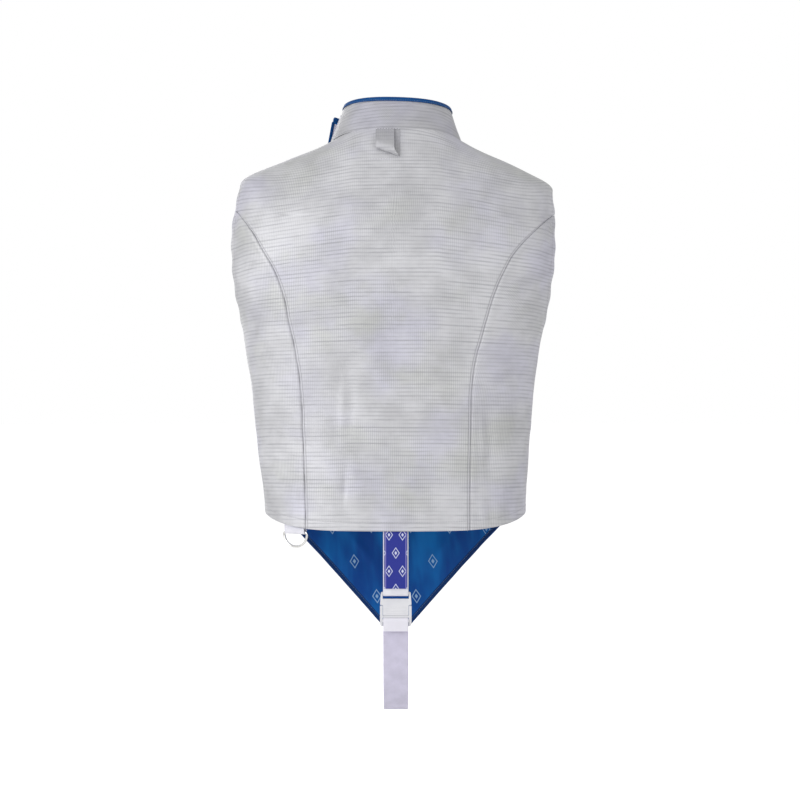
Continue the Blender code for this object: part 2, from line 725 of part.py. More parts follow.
def make_flap_binding(last_degrees):
    """Binding down the free end of the overlap."""
    sections = []
    for share in np.linspace(*FLAP_BINDING_SHARES, 5):
        edge = collar_point(FLAP_END_ANGLE, share, 0.0)
        back = (collar_point(last_degrees, share, 0.0) - edge).normalized()
        out = (collar_point(FLAP_END_ANGLE, share, 0.001) - edge).normalized()
        sections.append(binding_section(edge, back, out))
    sweep("flap_binding", sections, "binding_cloth")


# Clip tab below the collar seam

TAB_LEFT_X = 0.0235
TAB_RIGHT_X = -0.0045
TAB_TOP_Z = 0.0078
TAB_CLOTH = 0.0010
TAB_COLUMNS = 6
TAB_BASE = 0.0010           # height of the strip's middle where it lies on the cloth
TAB_SLOPE = 0.93            # fall in height for each step along the cloth
TAB_LENGTHS = (1.03, 1.45)  # share of the path's drop at the left and the right edge
TAB_HEIGHTS = (0.80, 1.10)  # and of its height
TAB_FRONT_SHIFT = 0.0066    # how much narrower the front layer is at its right edge
TAB_COLUMN_NAMES = ("drop", "height", "shift")
TAB_PATH = (  # drop along the cloth, height off it and share of the front layer's shift
    (0.0000, 0.0010, 0.0), (0.0100, 0.0010, 0.0), (0.0200, 0.0012, 0.0),
    (0.0240, 0.0016, 0.0), (0.0259, 0.0027, 0.0), (0.0262, 0.0044, 0.15),
    (0.0245, 0.0063, 0.55), (0.0215, 0.0078, 0.9), (0.0185, 0.0082, 1.0),
    (0.0140, 0.0070, 1.0), (0.0080, 0.0047, 1.0), (0.0000, 0.0024, 1.0),
)


def back_level(x, z):
    """Level of the ring that passes through a place on the back."""
    low = HEM_LEVEL
    high = 0.0
    for _ in range(40):
        middle = (low + high) / 2
        if bare_point(middle, angle_of_x(middle, x, "back")).z < z:
            low = middle
        else:
            high = middle
    return low


def on_back(x, z, lift):
    level = back_level(x, z)
    return body_point(level, angle_of_x(level, x, "back"), lift)


def path_normals(path):
    """Unit normals of a flat path, to the left of its direction."""
    normals = []
    for k in range(len(path)):
        before = path[max(k - 1, 0)]
        after = path[min(k + 1, len(path) - 1)]
        dx = after[0] - before[0]
        dy = after[1] - before[1]
        length = math.hypot(dx, dy)
        normals.append((-dy / length, dx / length))
    return normals


def make_clip_tab():
    """Looped strip that hangs open towards the wearer's right."""
    path = [dict(zip(TAB_COLUMN_NAMES, row)) for row in TAB_PATH]
    normals = path_normals([(step["drop"], step["height"]) for step in path])
    half = TAB_CLOTH / 2
    outer = []
    inner = []
    for step, (nd, nh) in zip(path, normals):
        rows = ([], [])
        for j in range(TAB_COLUMNS):
            share = j / (TAB_COLUMNS - 1)
            right = TAB_RIGHT_X + TAB_FRONT_SHIFT * step["shift"]
            x = TAB_LEFT_X + (right - TAB_LEFT_X) * share
            longer = TAB_LENGTHS[0] + (TAB_LENGTHS[1] - TAB_LENGTHS[0]) * share
            fuller = TAB_HEIGHTS[0] + (TAB_HEIGHTS[1] - TAB_HEIGHTS[0]) * share
            for side, sign in enumerate((1, -1)):
                d = step["drop"] * longer + nd * half * sign
                h = TAB_BASE + (step["height"] - TAB_BASE) * fuller + nh * half * sign
                rows[side].append(on_back(x, TAB_TOP_Z - d * TAB_SLOPE, h))
        outer.append(rows[0])
        inner.append(rows[1])
    shell("clip_tab", outer, inner, "lame")


# Straps, buckle and ring

def ribbon(name, path, across, half_width, thickness, finish):
    """Flat strip along a path, with its width along one direction."""
    sections = []
    for k, point in enumerate(path):
        before = path[max(k - 1, 0)]
        after = path[min(k + 1, len(path) - 1)]
        out = across.cross((after - before).normalized()).normalized()
        sections.append([point + out * thickness / 2 * a + across * half_width * b
                         for a, b in ((1, 1), (1, -1), (-1, -1), (-1, 1))])
    return sweep(name, sections, finish)


def smooth_path(points, steps):
    """Points of a smooth curve through the given ones, as (y, z) pairs."""
    knots = np.arange(len(points), dtype=float)
    ys = np.array([point[0] for point in points])
    zs = np.array([point[1] for point in points])
    places = np.linspace(0.0, knots[-1], steps)
    return [Vector((0.0, smooth_value(knots, ys, t), smooth_value(knots, zs, t)))
            for t in places]


BUCKLE_MIDDLE = Vector((0.0, 0.1045, -0.5640))
UPPER_BAR = 0.0180          # height of the bar's middle over the buckle's middle
LOWER_BAR = -0.0150
BAR_HALF_HEIGHT = 0.0013
BAR_HALF_DEPTH = 0.0013
BAR_CLEARANCE = 0.0007
WRAP = BAR_HALF_DEPTH + BAR_CLEARANCE + WEBBING / 2      # radius of the strap round a bar
STRAP_TURN_Z = -0.474       # where the strap leaves the back and leans out to the buckle
STRAP_SEAT = 0.0009         # extra room between the strap's label and the back panel
TAIL_DROPS = (0.0125, 0.004)        # of the strap's loose end below the lower bar
LOOP_START_DROP = 0.014     # where the strap behind the lower bar begins to curve
FRONT_SEAT = 0.0004         # extra room between the strap and the front lining
FRONT_OVERLAP = 0.022       # length sewn up behind the front's point
FRONT_APPROACH = (0.0040, -0.012)   # y and z from the point's end to the strap's bend
STRAP_LOOP = (  # y and z of the strap's middle, from the buckle round to the front
    (0.0945, -0.6080), (0.0820, -0.6450), (0.0560, -0.6790), (0.0200, -0.6993),
    (-0.0150, -0.6993), (-0.0520, -0.6810), (-0.0800, -0.6510),
)


def from_buckle(y, z):
    """World place of a point given in the tilted plane of the buckle."""
    return BUCKLE_MIDDLE + Matrix.Rotation(-BUCKLE_TILT, 3, "X") @ Vector((0.0, y, z))


def strap_outer_y():
    """Outer face of the back strap, inside the back panel and the label's edge."""
    angle = angle_of_x(HEM_LEVEL, 0.0, "back")
    inside = body_point(HEM_LEVEL, angle, -CLOTH).y
    return inside - TOUCH - LABEL - TOUCH - STRAP_SEAT


def wrap_points(bar, first, last, count):
    """Arc round a bar, from one angle to another, in the buckle's plane."""
    points = []
    for k in range(count):
        turn = math.radians(first + (last - first) * k / (count - 1))
        y = WRAP * math.cos(turn)
        z = bar + WRAP * math.sin(turn)
        points.append(from_buckle(y, z))
    return points


def make_back_strap():
    """From inside the hem down the outside of the bar, round it and up behind."""
    y = strap_outer_y() - WEBBING / 2
    join = wrap_points(UPPER_BAR, 0.0, -180.0, 9)
    start = [Vector((0.0, y, STRAP_TOP_Z)), Vector((0.0, y, STRAP_TURN_Z))]
    lower = join[0]
    hang = [start[1].lerp(lower, t) for t in (0.33, 0.66)]
    behind = [join[-1].lerp(start[1] + Vector((0, -WEBBING - TOUCH, 0)), t)
              for t in (0.12, 0.3)]
    path = start + hang + join + behind
    ribbon("back_strap", path, Vector((1, 0, 0)), WEBBING_HALF_WIDTH, WEBBING,
           "webbing_cloth")
    top = Vector((0.0, strap_outer_y() + TOUCH + LABEL / 2, LABEL_TOP_Z))
    turn_at = Vector((0.0, top.y, STRAP_TURN_Z))
    out = Vector((0.0, WEBBING / 2 + TOUCH + LABEL / 2, 0.0))
    share = (LABEL_BOTTOM_Z - start[1].z) / (lower.z - start[1].z)
    end = start[1].lerp(lower, share) + out
    ribbon("strap_label", [top, turn_at, turn_at.lerp(end, 0.5), end],
           Vector((1, 0, 0)), LABEL_HALF_WIDTH, LABEL, "label_cloth")


def make_crotch_strap():
    """From its tail over the lower bar, down in a long loop and up to the front point."""
    tail = [from_buckle(WRAP, LOWER_BAR - drop) for drop in TAIL_DROPS]
    join = wrap_points(LOWER_BAR, 0.0, 180.0, 9)
    depth = -CLOTH - TOUCH - LINING - TOUCH - WEBBING / 2 - FRONT_SEAT
    front = body_point(POINT_LEVELS[0], math.pi, depth)
    front_up = body_point(POINT_LEVELS[0] + FRONT_OVERLAP, math.pi, depth)
    down = from_buckle(-WRAP, LOWER_BAR - LOOP_START_DROP)
    bend = (front.y + FRONT_APPROACH[0], front.z + FRONT_APPROACH[1])
    loop = smooth_path([(down.y, down.z), *STRAP_LOOP, bend, (front.y, front.z)], 34)
    ribbon("crotch_strap", tail + join + loop + [front_up], Vector((1, 0, 0)),
           WEBBING_HALF_WIDTH, WEBBING, "webbing_cloth")


BUCKLE_ROOM = 0.0006        # beside the webbing in each window
BUCKLE_TAPERS = (0.0012, 0.0006)    # of the upper half's top and the lower half's bottom
BUCKLE_CORNER = 0.0012
WINDOW_CORNER = 0.0004
UPPER_PLATE_LOW = 0.0038
UPPER_WINDOW_LOW = 0.0110
LOWER_PLATE_HIGH = 0.0032
LOWER_WINDOW_HIGH = -0.0092


def round_corners(half_width, low, high, top_half_width, corner):
    """Outline of eight points with cut corners, widest at the bottom."""
    w = half_width
    t = top_half_width
    return ((-w, low + corner), (-w + corner, low), (w - corner, low), (w, low + corner),
            (t, high - corner), (t - corner, high), (-t + corner, high), (-t, high - corner))


def make_buckle_piece(name, outline, window, low, high):
    mesh_data = bmesh.new()
    framed_prism(mesh_data, outline, window, low, high)
    turn = Matrix.Rotation(-BUCKLE_TILT, 4, "X") @ Matrix.Rotation(math.pi / 2, 4, "X")
    place(mesh_data, turn, BUCKLE_MIDDLE)
    made = make_object(name, mesh_data, "buckle_plastic")
    edge = made.modifiers.new("edge", "BEVEL")
    edge.width = 0.0005
    edge.segments = 1
    edge.limit_method = "ANGLE"
    edge.angle_limit = math.radians(50)


def make_buckle():
    """Two halves of a side-release buckle, fastened, each with a bar for its strap."""
    w = BUCKLE_HALF_WIDTH
    room = WEBBING_HALF_WIDTH + BUCKLE_ROOM
    top_taper, low_taper = BUCKLE_TAPERS
    make_buckle_piece("buckle_upper",
                      round_corners(w, UPPER_PLATE_LOW, UPPER_BAR + BAR_HALF_HEIGHT,
                                    w - top_taper, BUCKLE_CORNER),
                      round_corners(room, UPPER_WINDOW_LOW, UPPER_BAR - BAR_HALF_HEIGHT,
                                    room, WINDOW_CORNER),
                      -BAR_HALF_DEPTH, BAR_HALF_DEPTH)
    make_buckle_piece("buckle_lower",
                      round_corners(w - low_taper, LOWER_BAR - BAR_HALF_HEIGHT,
                                    LOWER_PLATE_HIGH, w, BUCKLE_CORNER),
                      round_corners(room, LOWER_BAR + BAR_HALF_HEIGHT, LOWER_WINDOW_HIGH,
                                    room, WINDOW_CORNER),
                      -BAR_HALF_DEPTH, BAR_HALF_DEPTH)


RING_TAB_HEIGHT = 0.012     # how far the tab runs up behind the hem
RING_TAB_BEND = 0.003       # where its back layer turns in
RING_TAB_SEAT = 0.0002
FRONT_LAYER_END = 0.0035    # height over the bar where the front layer starts to turn
BACK_LAYER_START = 0.0040
BOW_START = 0.0012          # depth at which the bow leaves the bar
BOW_POWER = 0.85            # below 1 makes the bow fuller than an ellipse


def ring_frame():
    """Place of the ring's bar: along the hem, up, and out from the body."""
    level = HEM_LEVEL
    angle = angle_of_x(level, RING_X, "back")
    middle = body_point(level, angle)
    ahead = body_point(level, angle + 0.05)
    behind = body_point(level, angle - 0.05)
    along = Vector((ahead.x - behind.x, ahead.y - behind.y, 0.0)).normalized()
    up = Vector((0.0, 0.0, 1.0))
    out = along.cross(up).normalized() * -1.0
    inset = 0.0
    for share in (-1.0, 1.0):
        flank = middle + along * WEBBING_HALF_WIDTH * share
        near = body_point(level, angle_of_x(level, flank.x, "back"), -CLOTH)
        inset = max(inset, (middle - near).dot(out))
    return middle, along, up, out, inset


def make_ring():
    """D-ring in a folded tab of webbing behind the hem."""
    middle, along, up, out, inset = ring_frame()
    around = RING_WIRE + TOUCH + WEBBING / 2
    face = middle - out * (inset + TOUCH + WEBBING / 2 + RING_TAB_SEAT)
    bar = face - out * around - up * TAB_DROP
    path = [face + up * RING_TAB_HEIGHT, face + up * RING_TAB_BEND,
            face - up * (TAB_DROP - FRONT_LAYER_END)]
    for k in range(9):
        turn = math.pi * k / 8
        path.append(bar + out * around * math.cos(turn) - up * around * math.sin(turn))
    path.append(bar - out * around + up * BACK_LAYER_START)
    for height in (RING_TAB_BEND, RING_TAB_HEIGHT):
        path.append(face - out * (WEBBING + TOUCH) + up * height)
    ribbon("ring_tab", path, along, WEBBING_HALF_WIDTH, WEBBING, "webbing_cloth")
    route = [Vector((-RING_HALF_WIDTH, 0.0)), Vector((-RING_HALF_WIDTH / 2, 0.0)),
             Vector((RING_HALF_WIDTH / 2, 0.0)), Vector((RING_HALF_WIDTH, 0.0))]
    for k in range(1, 16):
        turn = math.pi * k / 16
        sag = (RING_DROP - BOW_START) * math.sin(turn) ** BOW_POWER
        route.append(Vector((RING_HALF_WIDTH * math.cos(turn), -BOW_START - sag)))
    sections = []
    count = len(route)
    for k, point in enumerate(route):
        heading = (route[(k + 1) % count] - route[(k - 1) % count]).normalized()
        side = Vector((-heading.y, heading.x))
        ring = []
        for j in range(8):
            turn = 2 * math.pi * j / 8
            flat = side * RING_WIRE * math.cos(turn)
            ring.append(along * (point.x + flat.x) + up * (point.y + flat.y)
                        + out * RING_WIRE * math.sin(turn))
        sections.append(ring)
    ring = sweep("d_ring", sections, "ring_metal", closed=True)
    ring.location = bar


def main():
    clear_scene()
    make_back()
    make_back_sides()
    make_front()
    make_front_side()
    make_front_lining()
    make_zip()
    make_collar()
    make_clip_tab()
    make_back_strap()
    make_crotch_strap()
    make_buckle()
    make_ring()


main()
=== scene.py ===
import json
import math

import bmesh
import bpy
import numpy as np
from mathutils import Matrix, Vector


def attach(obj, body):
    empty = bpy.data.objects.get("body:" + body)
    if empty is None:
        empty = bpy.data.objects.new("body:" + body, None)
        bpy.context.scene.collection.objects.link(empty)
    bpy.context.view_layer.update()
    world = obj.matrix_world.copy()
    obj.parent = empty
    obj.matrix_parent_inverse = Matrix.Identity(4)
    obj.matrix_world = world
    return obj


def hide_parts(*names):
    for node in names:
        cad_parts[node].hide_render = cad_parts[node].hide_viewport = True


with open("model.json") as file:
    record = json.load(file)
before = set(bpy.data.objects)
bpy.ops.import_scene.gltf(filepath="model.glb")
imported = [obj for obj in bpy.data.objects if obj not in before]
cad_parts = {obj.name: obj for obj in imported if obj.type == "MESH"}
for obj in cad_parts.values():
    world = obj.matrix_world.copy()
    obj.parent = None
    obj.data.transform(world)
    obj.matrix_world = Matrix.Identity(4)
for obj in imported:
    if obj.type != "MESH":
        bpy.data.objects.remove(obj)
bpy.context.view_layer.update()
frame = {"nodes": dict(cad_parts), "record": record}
print("frame loaded:", len(frame["nodes"]), "nodes")

white = (1.0, 1.0, 1.0, 1.0)

# Studio: camera at the photo's place, white floor and soft lights

studio = {
    "cameraPlace": (-0.005, 2.0, -0.3175),
    "lens": 72.0,
    "sensor": 36.0,
    "floorHeight": -0.95,
    "floorRadius": 40.0,
    "skyLight": 0.68,
    "skySeen": 1.0,
    "floorGlow": 0.45,
    "floorColour": (0.93, 0.93, 0.93, 1.0),
    "lights": (  # name, place, aim, size, watts
        ("keyLight", (1.6, 1.5, 0.3), (0.0, 0.0, -0.28), 1.2, 20.0),
        ("fillLight", (-1.5, 1.9, 0.0), (0.0, 0.0, -0.30), 1.6, 5.0),
        ("frontLight", (0.7, -2.2, 0.3), (0.0, 0.0, -0.30), 1.4, 14.0),
    ),
}


def linkObject(name, data):
    made = bpy.data.objects.new(name, data)
    bpy.context.collection.objects.link(made)
    return made


def makeStudio():
    cameraData = bpy.data.cameras.new("camera")
    cameraData.lens = studio["lens"]
    cameraData.sensor_width = studio["sensor"]
    camera = linkObject("camera", cameraData)
    camera.location = studio["cameraPlace"]
    camera.rotation_euler = (math.radians(90), 0.0, math.radians(180))
    bpy.context.scene.camera = camera
    for name, place, aim, size, watts in studio["lights"]:
        lightData = bpy.data.lights.new(name, "AREA")
        lightData.size = size
        lightData.energy = watts
        light = linkObject(name, lightData)
        light.location = place
        light.rotation_euler = (Vector(aim) - Vector(place)).to_track_quat("-Z", "Y").to_euler()
    world = bpy.data.worlds.new("studioWorld")
    world.use_nodes = True
    sky = NodeBuilder(world.node_tree)
    strength = sky.mapRange(sky.cameraRay(), 0.0, 1.0, studio["skyLight"], studio["skySeen"],
                            smooth=False)
    sky.setAll(world.node_tree.nodes["Background"], Color=white, Strength=strength)
    bpy.context.scene.world = world
    bpy.context.scene.view_settings.view_transform = "Standard"
    disc = bmesh.new()
    bmesh.ops.create_circle(disc, cap_ends=True, segments=64, radius=studio["floorRadius"])
    bmesh.ops.translate(disc, verts=disc.verts, vec=(0.0, 0.0, studio["floorHeight"]))
    mesh = bpy.data.meshes.new("floor")
    disc.to_mesh(mesh)
    disc.free()
    paint, build, shader = newMaterial("floorPaint", 0.9)
    glow = build.math("MULTIPLY", build.cameraRay(), studio["floorGlow"])
    build.setAll(shader, Base_Color=studio["floorColour"], Emission_Color=white,
                 Emission_Strength=glow)
    mesh.materials.append(paint)
    linkObject("floor", mesh)


# Node helpers


class NodeBuilder:

    def __init__(self, tree):
        self.tree = tree
        self.column = 0

    def add(self, kind, settings=None, **inputs):
        node = self.tree.nodes.new(kind)
        node.location = (self.column * 190 - 900, -(self.column % 4) * 220)
        self.column += 1
        for name, value in (settings or {}).items():
            setattr(node, name, value)
        self.setAll(node, **inputs)
        return node

    def set(self, node, key, value):
        socket = node.inputs[key]
        if isinstance(value, bpy.types.NodeSocket):
            self.tree.links.new(value, socket)
        else:
            socket.default_value = value

    def setAll(self, node, **inputs):
        for name, value in inputs.items():
            self.set(node, name.replace("_", " "), value)

    def math(self, operation, *values):
        node = self.add("ShaderNodeMath", {"operation": operation})
        for place, value in enumerate(values):
            self.set(node, place, value)
        return node.outputs[0]

    def mapRange(self, value, low, high, outLow=0.0, outHigh=1.0, smooth=True):
        kind = "SMOOTHSTEP" if smooth else "LINEAR"
        return self.add("ShaderNodeMapRange", {"interpolation_type": kind}, Value=value,
                        From_Min=low, From_Max=high, To_Min=outLow,
                        To_Max=outHigh).outputs["Result"]

    def mixColour(self, factor, first, second, blend="MIX"):
        node = self.add("ShaderNodeMix", {"data_type": "RGBA", "blend_type": blend})
        for place, value in ((0, factor), (6, first), (7, second)):
            self.set(node, place, value)
        return node.outputs[2]

    def awayFrom(self, value, middle):
        return self.math("ABSOLUTE", self.math("SUBTRACT", value, middle))

    def noise(self, vector, scale, detail=2.0, **inputs):
        return self.add("ShaderNodeTexNoise", {}, Vector=vector, Scale=scale, Detail=detail,
                        **inputs).outputs["Fac"]

    def mapping(self, vector, **inputs):
        return self.add("ShaderNodeMapping", {}, Vector=vector, **inputs).outputs["Vector"]

    def axes(self, vector):
        return self.add("ShaderNodeSeparateXYZ", {}, Vector=vector).outputs

    def uvMap(self, name):
        return self.add("ShaderNodeUVMap", {"uv_map": name}).outputs["UV"]

    def objectPlace(self):
        return self.add("ShaderNodeTexCoord").outputs["Object"]

    def cameraRay(self):
        return self.add("ShaderNodeLightPath").outputs["Is Camera Ray"]


def newMaterial(name, roughness, metallic=0.0, specular=0.5):
    made = bpy.data.materials.new(name)
    made.use_nodes = True
    shader = made.node_tree.nodes["Principled BSDF"]
    build = NodeBuilder(made.node_tree)
    build.setAll(shader, Roughness=roughness, Metallic=metallic, Specular_IOR_Level=specular)
    return made, build, shader


def dress(build, shader, colour, height, distance):
    bump = build.add("ShaderNodeBump", {}, Height=height, Distance=distance, Strength=1.0)
    build.setAll(shader, Base_Color=colour, Normal=bump.outputs["Normal"])


def shaderGroup(name, values, results):
    group = bpy.data.node_groups.new(name, "ShaderNodeTree")
    group.interface.new_socket("Vector", in_out="INPUT", socket_type="NodeSocketVector")
    for label, value in values.items():
        socket = group.interface.new_socket(label, in_out="INPUT", socket_type="NodeSocketFloat")
        socket.default_value = value
    for label in results:
        group.interface.new_socket(label, in_out="OUTPUT", socket_type="NodeSocketFloat")
    build = NodeBuilder(group)
    return group, build, build.add("NodeGroupInput").outputs, build.add("NodeGroupOutput")


def useGroup(build, group, vector, **values):
    return build.add("ShaderNodeGroup", {"node_tree": group}, Vector=vector, **values).outputs


weaveForm = {
    "acrossPitch": 0.0047,
    "uprightPitch": 0.0023,
    "wobble": 0.0008,
    "acrossLine": (0.06, 0.26),  # half width and soft edge, in shares of the pitch
    "uprightLine": (0.10, 0.24),
    "streakScale": (24.0, 230.0, 1.0),
    "lineRelief": -0.6,
    "uprightRelief": -0.3,
    "fuzzRelief": 0.35,
    "fuzzScale": 900.0,
    "threadPitches": (0.0008, 0.0011),
    "threadFuzzScale": 2200.0,
    "threadFuzz": 0.3,
}


def lineMask(build, coordinate, pitch, halfWidth, soft):
    cell = build.math("FRACT", build.math("DIVIDE", coordinate, pitch))
    return build.mapRange(build.awayFrom(cell, 0.5), halfWidth, halfWidth + soft, 1.0, 0.0)


def makeGridWeave():
    form = weaveForm
    group, build, into, out = shaderGroup(
        "gridWeave", {"Across Pitch": form["acrossPitch"], "Upright Pitch": form["uprightPitch"],
                      "Wobble": form["wobble"]}, ("Across", "Upright", "Patch", "Height"))
    vector = into["Vector"]
    axes = build.axes(vector)
    drift = build.math("MULTIPLY", build.math("SUBTRACT", build.noise(vector, 14.0), 0.5),
                       into["Wobble"])
    upright = build.math("ADD", axes["X"], drift)
    across = build.math("MULTIPLY_ADD", drift, 1.6, axes["Y"])
    rowNumber = build.math("FLOOR", build.math("DIVIDE", across, into["Across Pitch"]))
    rowNoise = build.add("ShaderNodeTexWhiteNoise", {"noise_dimensions": "1D"}, W=rowNumber)
    rowTone = build.mapRange(rowNoise.outputs["Value"], 0.0, 1.0, 0.55, 1.0, smooth=False)
    broken = build.noise(build.mapping(vector, Scale=form["streakScale"]), 1.0, 3.0)
    brokenTone = build.mapRange(broken, 0.34, 0.62, 0.25, 1.0)
    acrossLine = lineMask(build, across, into["Across Pitch"], *form["acrossLine"])
    acrossLine = build.math("MULTIPLY", build.math("MULTIPLY", acrossLine, rowTone), brokenTone)
    uprightLine = lineMask(build, upright, into["Upright Pitch"], *form["uprightLine"])
    height = build.math("MULTIPLY", acrossLine, form["lineRelief"])
    height = build.math("MULTIPLY_ADD", uprightLine, form["uprightRelief"], height)
    height = build.math("MULTIPLY_ADD", build.noise(vector, form["fuzzScale"]),
                        form["fuzzRelief"], height)
    patch = build.noise(vector, 22.0, 4.0, Roughness=0.6)
    build.setAll(out, Across=acrossLine, Upright=uprightLine, Patch=patch, Height=height)
    return group


def makeThreadWeave():
    form = weaveForm
    acrossPitch, alongPitch = form["threadPitches"]
    group, build, into, out = shaderGroup(
        "threadWeave", {"Across Pitch": acrossPitch, "Along Pitch": alongPitch, "Slant": 0.0},
        ("Thread", "Tone", "Height"))
    vector = into["Vector"]
    axes = build.axes(vector)
    slanted = build.math("MULTIPLY_ADD", axes["X"], into["Slant"], axes["Y"])
    waves = []
    for place, pitch in ((axes["X"], "Across Pitch"), (slanted, "Along Pitch")):
        turns = build.math("DIVIDE", place, into[pitch])
        waves.append(build.math("SINE", build.math("MULTIPLY", turns, 2.0 * math.pi)))
    ribs = build.math("MULTIPLY_ADD", waves[1], 0.5, build.math("MULTIPLY", *waves))
    thread = build.mapRange(ribs, -1.3, 1.3, smooth=False)
    height = build.math("MULTIPLY_ADD", build.noise(vector, form["threadFuzzScale"], 1.0),
                        form["threadFuzz"], thread)
    build.setAll(out, Thread=thread, Tone=build.noise(vector, 60.0, 3.0), Height=height)
    return group


makeStudio()
print("studio ready")
gridWeave = makeGridWeave()
threadWeave = makeThreadWeave()

lameLook = {
    "silver": (0.630, 0.630, 0.652, 1.0),
    "lavender": (0.600, 0.595, 0.670, 1.0),
    "greenish": (0.610, 0.616, 0.606, 1.0),
    # painted shade on the collar: its copy of the cloth is darker by this factor
    "collarShadeTone": 0.84,
    # painted shade on the clip tab under its fold: its copy of the cloth is darker by this factor
    "tabShadeTone": 0.76,
    "patchTones": (0.90, 1.08),
    # the line colour serves the woven grid lines and also the painted shade along seams and stitch
    # grooves
    "line": (0.27, 0.27, 0.30, 1.0),
    "ridgeHighlight": (0.70, 0.70, 0.74, 1.0),
    "lineStrength": 0.50,
    "fineStrength": 0.30,
    "seamWidth": 0.0012,
    "seamShadeStrength": 0.40,
    "bands": (  # beside a sewn seam, a painted highlight on the ridge and painted shade in the stitch groove: middle, half width, strength, colour
        (0.0018, 0.0009, 0.45, "ridgeHighlight"),
        (0.0031, 0.0008, 0.42, "line"),
    ),
    "metallic": 0.36,
    "specular": 0.3,
    "roughness": (0.46, 0.60),
    "bump": 0.00026,
}


def makeLame(name, shadeTone):
    look = lameLook
    made, build, shader = newMaterial(name, 0.5, look["metallic"], look["specular"])
    weave = useGroup(build, gridWeave, build.uvMap("clothUV"))
    place = build.objectPlace()
    wide = build.noise(place, 11.0, 3.0)
    other = build.noise(build.mapping(place, Location=(3.0, 1.0, 7.0)), 16.0, 3.0)
    colour = build.mixColour(build.mapRange(wide, 0.44, 0.66), look["silver"], look["lavender"])
    colour = build.mixColour(build.mapRange(other, 0.48, 0.72), colour, look["greenish"])
    # the tone factor scales the cloth's colour down: painted shade on the collar and clip tab
    # copies
    patch = build.mapRange(weave["Patch"], 0.30, 0.70,
                           *(tone * shadeTone for tone in look["patchTones"]))
    colour = build.mixColour(1.0, colour, patch, "MULTIPLY")
    strength = build.math("MULTIPLY", weave["Across"], look["lineStrength"])
    colour = build.mixColour(strength, colour, look["line"])
    fine = build.math("MULTIPLY", weave["Upright"], look["fineStrength"])
    fine = build.math("MULTIPLY", fine, build.mapRange(other, 0.38, 0.60, 0.15, 1.0))
    colour = build.mixColour(fine, colour, look["line"])
    # painted shade along the seams: the cloth darkens towards the line colour within seamWidth of
    # a panel edge, free edges included
    away = build.axes(build.uvMap("edgeUV"))
    seam = build.mapRange(away["X"], look["seamWidth"] * 0.4, look["seamWidth"],
                          look["seamShadeStrength"], 0.0)
    colour = build.mixColour(seam, colour, look["line"])
    # painted highlight on the ridge beside each sewn seam, and painted shade in the stitch groove
    for middle, halfWidth, strength, tint in look["bands"]:
        band = build.mapRange(build.awayFrom(away["Y"], middle), halfWidth * 0.3, halfWidth,
                              strength, 0.0)
        colour = build.mixColour(band, colour, look[tint])
    build.set(shader, "Roughness", build.mapRange(weave["Patch"], 0.3, 0.7, *look["roughness"]))
    dress(build, shader, colour, weave["Height"], look["bump"])
    return made


liningLook = {
    # painted shade and painted sheen colours of the lining
    "deep": (0.0020, 0.054, 0.260, 1.0),
    "sheenBlue": (0.0045, 0.155, 0.470, 1.0),
    "motif": (0.40, 0.60, 0.78, 1.0),
    "motifStrength": 0.62,
    "hemStripShade": (0.0020, 0.030, 0.130, 1.0),
    "hemWidth": 0.0085,
    "motifPitch": (0.052, 0.046),
    "motifSize": 0.0085,
    "motifLine": 0.0011,
    "threadPitch": 0.0006,
    "sheenLean": -35,
    "sheenScale": (28.0, 7.0, 1.0),
    "roughness": 0.36,
    "specular": 0.14,
    "bump": 0.00006,
}


def diamondMask(build, vector, pitch, size, line):
    axes = build.axes(vector)
    row = build.math("DIVIDE", axes["Y"], pitch[1])
    odd = build.math("FLOORED_MODULO", build.math("FLOOR", row), 2.0)
    column = build.math("MULTIPLY_ADD", odd, 0.5, build.math("DIVIDE", axes["X"], pitch[0]))
    inX, inY = (
        build.math("MULTIPLY", build.awayFrom(build.math("FRACT", place), 0.5), step)
        for place, step in ((column, pitch[0]), (row, pitch[1])))
    sumAway = build.math("MULTIPLY_ADD", inX, 1.5, inY)
    ring = build.mapRange(build.awayFrom(sumAway, size), line * 0.7, line * 1.1, 1.0, 0.0)
    dot = build.mapRange(sumAway, size * 0.34, size * 0.42, 1.0, 0.0)
    return build.math("MAXIMUM", ring, dot)


def makeLining(name, motifs):
    look = liningLook
    made, build, shader = newMaterial(name, look["roughness"], 0.0, look["specular"])
    vector = build.uvMap("clothUV")
    weave = useGroup(build, threadWeave, vector, Across_Pitch=look["threadPitch"],
                     Along_Pitch=look["threadPitch"])
    # painted sheen: stretched diagonal streaks mix the shaded blue with the lighter sheen blue
    stretched = build.mapping(vector, Scale=look["sheenScale"],
                              Rotation=(0.0, 0.0, math.radians(look["sheenLean"])))
    share = build.mapRange(build.noise(stretched, 1.0, 3.0), 0.35, 0.68)
    colour = build.mixColour(share, look["deep"], look["sheenBlue"])
    if motifs:
        mask = diamondMask(build, vector, look["motifPitch"], look["motifSize"],
                           look["motifLine"])
        mask = build.math("MULTIPLY", mask, look["motifStrength"])
        colour = build.mixColour(mask, colour, look["motif"])
        away = build.axes(build.uvMap("edgeUV"))["X"]
        # painted shade: a darker strip along the lining's turned hem
        strip = build.mapRange(away, look["hemWidth"] * 0.93, look["hemWidth"], 1.0, 0.0)
        colour = build.mixColour(strip, colour, look["hemStripShade"])
    dress(build, shader, colour, weave["Height"], look["bump"])
    return made


